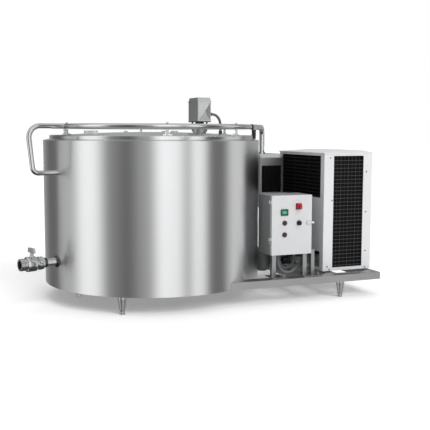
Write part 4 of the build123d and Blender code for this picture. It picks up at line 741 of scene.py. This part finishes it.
# Bolts through the stand's foot plates
PLATE_BOLTS = (0.639, 0.725, 0.872, 0.984)
PLATE_BOLT_ROW = -0.611
PLATE_TOP = 0.162
BOLT_SIZE = 0.008
stud = [(0.007, 0.0045), (0.017, 0.0045), (0.018, 0.0035), (0.018, 0)]
bm = bmesh.new()
for reach in PLATE_BOLTS:
    place = Vector((TANK.x + reach, PLATE_BOLT_ROW, PLATE_TOP))
    bolt(bm, place, (0, 0, 1), BOLT_SIZE, BOLT_SIZE)
    turned(bm, stud, place, (0, 0, 1), 16)
add_piece("plate_bolts", bm, bead_steel)

# A six-sided nut and a ring at the sole on each foot
FEET = 5
FOOT_BORE = 0.0154
FOOT_NUT_HEIGHT = 0.0225
SOLE_HEIGHT = 0.0008
nut = [(0, 0.0175), (0.0012, 0.0188), (0.0068, 0.0188), (0.008, 0.0175)]
sole = [(0, 0.0158), (0.001, 0.0168), (0.006, 0.0168), (0.0072, 0.0158)]
for number in range(1, FEET + 1):
    foot_name = "foot_screw_%d" % number
    foot = middle(foot_name)
    bm = bmesh.new()
    closed_turning(bm, nut, FOOT_BORE, UPWARDS, Vector((foot.x, foot.y, FOOT_NUT_HEIGHT)), 6)
    closed_turning(bm, sole, FOOT_BORE, UPWARDS, Vector((foot.x, foot.y, SOLE_HEIGHT)), 32)
    add_piece("foot_nut_%d" % number, bm, foot_steel, foot_name)

# Studio: white for the camera, tall soft panels for the steel to mirror, even light for the rest
# Each panel: compass angle (0 behind, 90 right, 180 front, -90 left), half width and soft edge,
# all in degrees, and its light
STUDIO_PANELS = (
    (-93, 6, 20, 1.15),
    (-160, 6, 16, 0.28),
    (180, 5, 17, 1.15),
    (161, 5, 10, 0.28),
    (-118, 4, 14, 0.12),
    (147, 3, 11, 1.05),
    (96, 9, 13, 0.62),
    (-62, 5, 14, 0.42),
    (30, 30, 30, 0.25),
)
STUDIO_BASE = 0.15
SKY_LIGHT = 0.75
SKY_START, SKY_FULL = radians(28), radians(62)
FLOOR_DARK = 0.07
DARK_FULL, DARK_START = radians(-48), radians(-15)
AMBIENT = 0.42
FLOOR_RADIUS = 60
FLOOR_WHITE = 0.97
FLOOR_GLOW = 0.24


def build_studio():
    """The world: what the camera, the steel and everything else see in each direction."""
    world = bpy.data.worlds.new("studio")
    bpy.context.scene.world = world
    world.use_nodes = True
    tree = world.node_tree
    tree.nodes.clear()

    def node(kind, **settings):
        made = tree.nodes.new(kind)
        for key, value in settings.items():
            setattr(made, key, value)
        return made

    def maths(operation, first, second=None, third=None):
        made = node("ShaderNodeMath", operation=operation)
        for socket, value in zip(made.inputs, (first, second, third)):
            if value is None:
                continue
            if isinstance(value, (int, float)):
                socket.default_value = value
            else:
                tree.links.new(value, socket)
        return made.outputs[0]

    def ramp(value, from_low, from_high, to_low, to_high):
        made = node("ShaderNodeMapRange", interpolation_type="SMOOTHSTEP")
        tree.links.new(value, made.inputs["Value"])
        limits = {"From Min": from_low, "From Max": from_high, "To Min": to_low, "To Max": to_high}
        for key, number in limits.items():
            made.inputs[key].default_value = number
        return made.outputs["Result"]

    def faded(value, share, other):
        kept = maths("MULTIPLY", value, maths("SUBTRACT", 1, share))
        return maths("ADD", kept, maths("MULTIPLY", share, other))

    direction = node("ShaderNodeTexCoord").outputs["Generated"]
    split = node("ShaderNodeSeparateXYZ")
    tree.links.new(direction, split.inputs[0])
    compass = maths("ARCTAN2", split.outputs["X"], split.outputs["Y"])
    compass = maths("MULTIPLY", compass, 180 / pi)
    total = STUDIO_BASE
    for angle, half, soft, light in STUDIO_PANELS:
        away = maths("SUBTRACT", compass, angle)
        away = maths("WRAP", away, 180, -180)
        away = maths("ABSOLUTE", away)
        panel = ramp(away, half, half + soft, light, 0)
        total = maths("ADD", panel, total)
    height = split.outputs["Z"]
    above = ramp(height, sin(SKY_START), sin(SKY_FULL), 0, 1)
    below = ramp(height, sin(DARK_FULL), sin(DARK_START), 1, 0)
    mixed = faded(faded(total, above, SKY_LIGHT), below, FLOOR_DARK)
    rays = node("ShaderNodeLightPath")
    glossy, direct = rays.outputs["Is Glossy Ray"], rays.outputs["Is Camera Ray"]
    seen = maths("ADD", maths("MULTIPLY", glossy, mixed), direct)
    plain = maths("SUBTRACT", 1, maths("MAXIMUM", direct, glossy))
    seen = maths("ADD", seen, maths("MULTIPLY", plain, AMBIENT))
    background = node("ShaderNodeBackground")
    background.inputs["Color"].default_value = (1, 1, 1, 1)
    tree.links.new(seen, background.inputs["Strength"])
    tree.links.new(background.outputs[0], node("ShaderNodeOutputWorld").inputs[0])


def build_floor():
    """A plain floor that stays white in the light and keeps the shadow under the tank."""
    bm = bmesh.new()
    turned(bm, [(0, 0), (0, FLOOR_RADIUS)], (0, 0, 0), (0, 0, 1), 64)
    floor = bpy.data.objects.new("floor", finish_mesh("floor", bm))
    bpy.context.scene.collection.objects.link(floor)
    mat = bpy.data.materials.new("floor")
    mat.use_nodes = True
    tree = mat.node_tree
    tree.nodes.clear()
    output = tree.nodes.new("ShaderNodeOutputMaterial")
    diffuse = tree.nodes.new("ShaderNodeBsdfDiffuse")
    diffuse.inputs["Color"].default_value = (FLOOR_WHITE, FLOOR_WHITE, FLOOR_WHITE, 1)
    glow = tree.nodes.new("ShaderNodeEmission")
    rays = tree.nodes.new("ShaderNodeLightPath")
    strength = tree.nodes.new("ShaderNodeMath")
    strength.operation = "MULTIPLY"
    strength.inputs[1].default_value = FLOOR_GLOW
    tree.links.new(rays.outputs["Is Camera Ray"], strength.inputs[0])
    tree.links.new(strength.outputs[0], glow.inputs["Strength"])
    together = tree.nodes.new("ShaderNodeAddShader")
    tree.links.new(diffuse.outputs[0], together.inputs[0])
    tree.links.new(glow.outputs[0], together.inputs[1])
    tree.links.new(together.outputs[0], output.inputs["Surface"])
    floor.data.materials.append(mat)
    floor.visible_glossy = False


def sun(name, towards, strength, softness):
    """A soft distant lamp that shines from a compass angle and a height in degrees."""
    compass, height = (radians(a) for a in towards)
    data = bpy.data.lights.new(name, "SUN")
    data.energy = strength
    data.angle = radians(softness)
    lamp = bpy.data.objects.new(name, data)
    away = Vector((sin(compass) * cos(height), cos(compass) * cos(height), sin(height)))
    lamp.rotation_euler = away.to_track_quat("Z", "Y").to_euler()
    lamp.visible_glossy = False
    bpy.context.scene.collection.objects.link(lamp)


build_studio()
build_floor()
sun("key", (165, 38), 1.5, 40)
sun("top", (20, 70), 0.7, 60)
bpy.context.scene.view_settings.view_transform = "Standard"
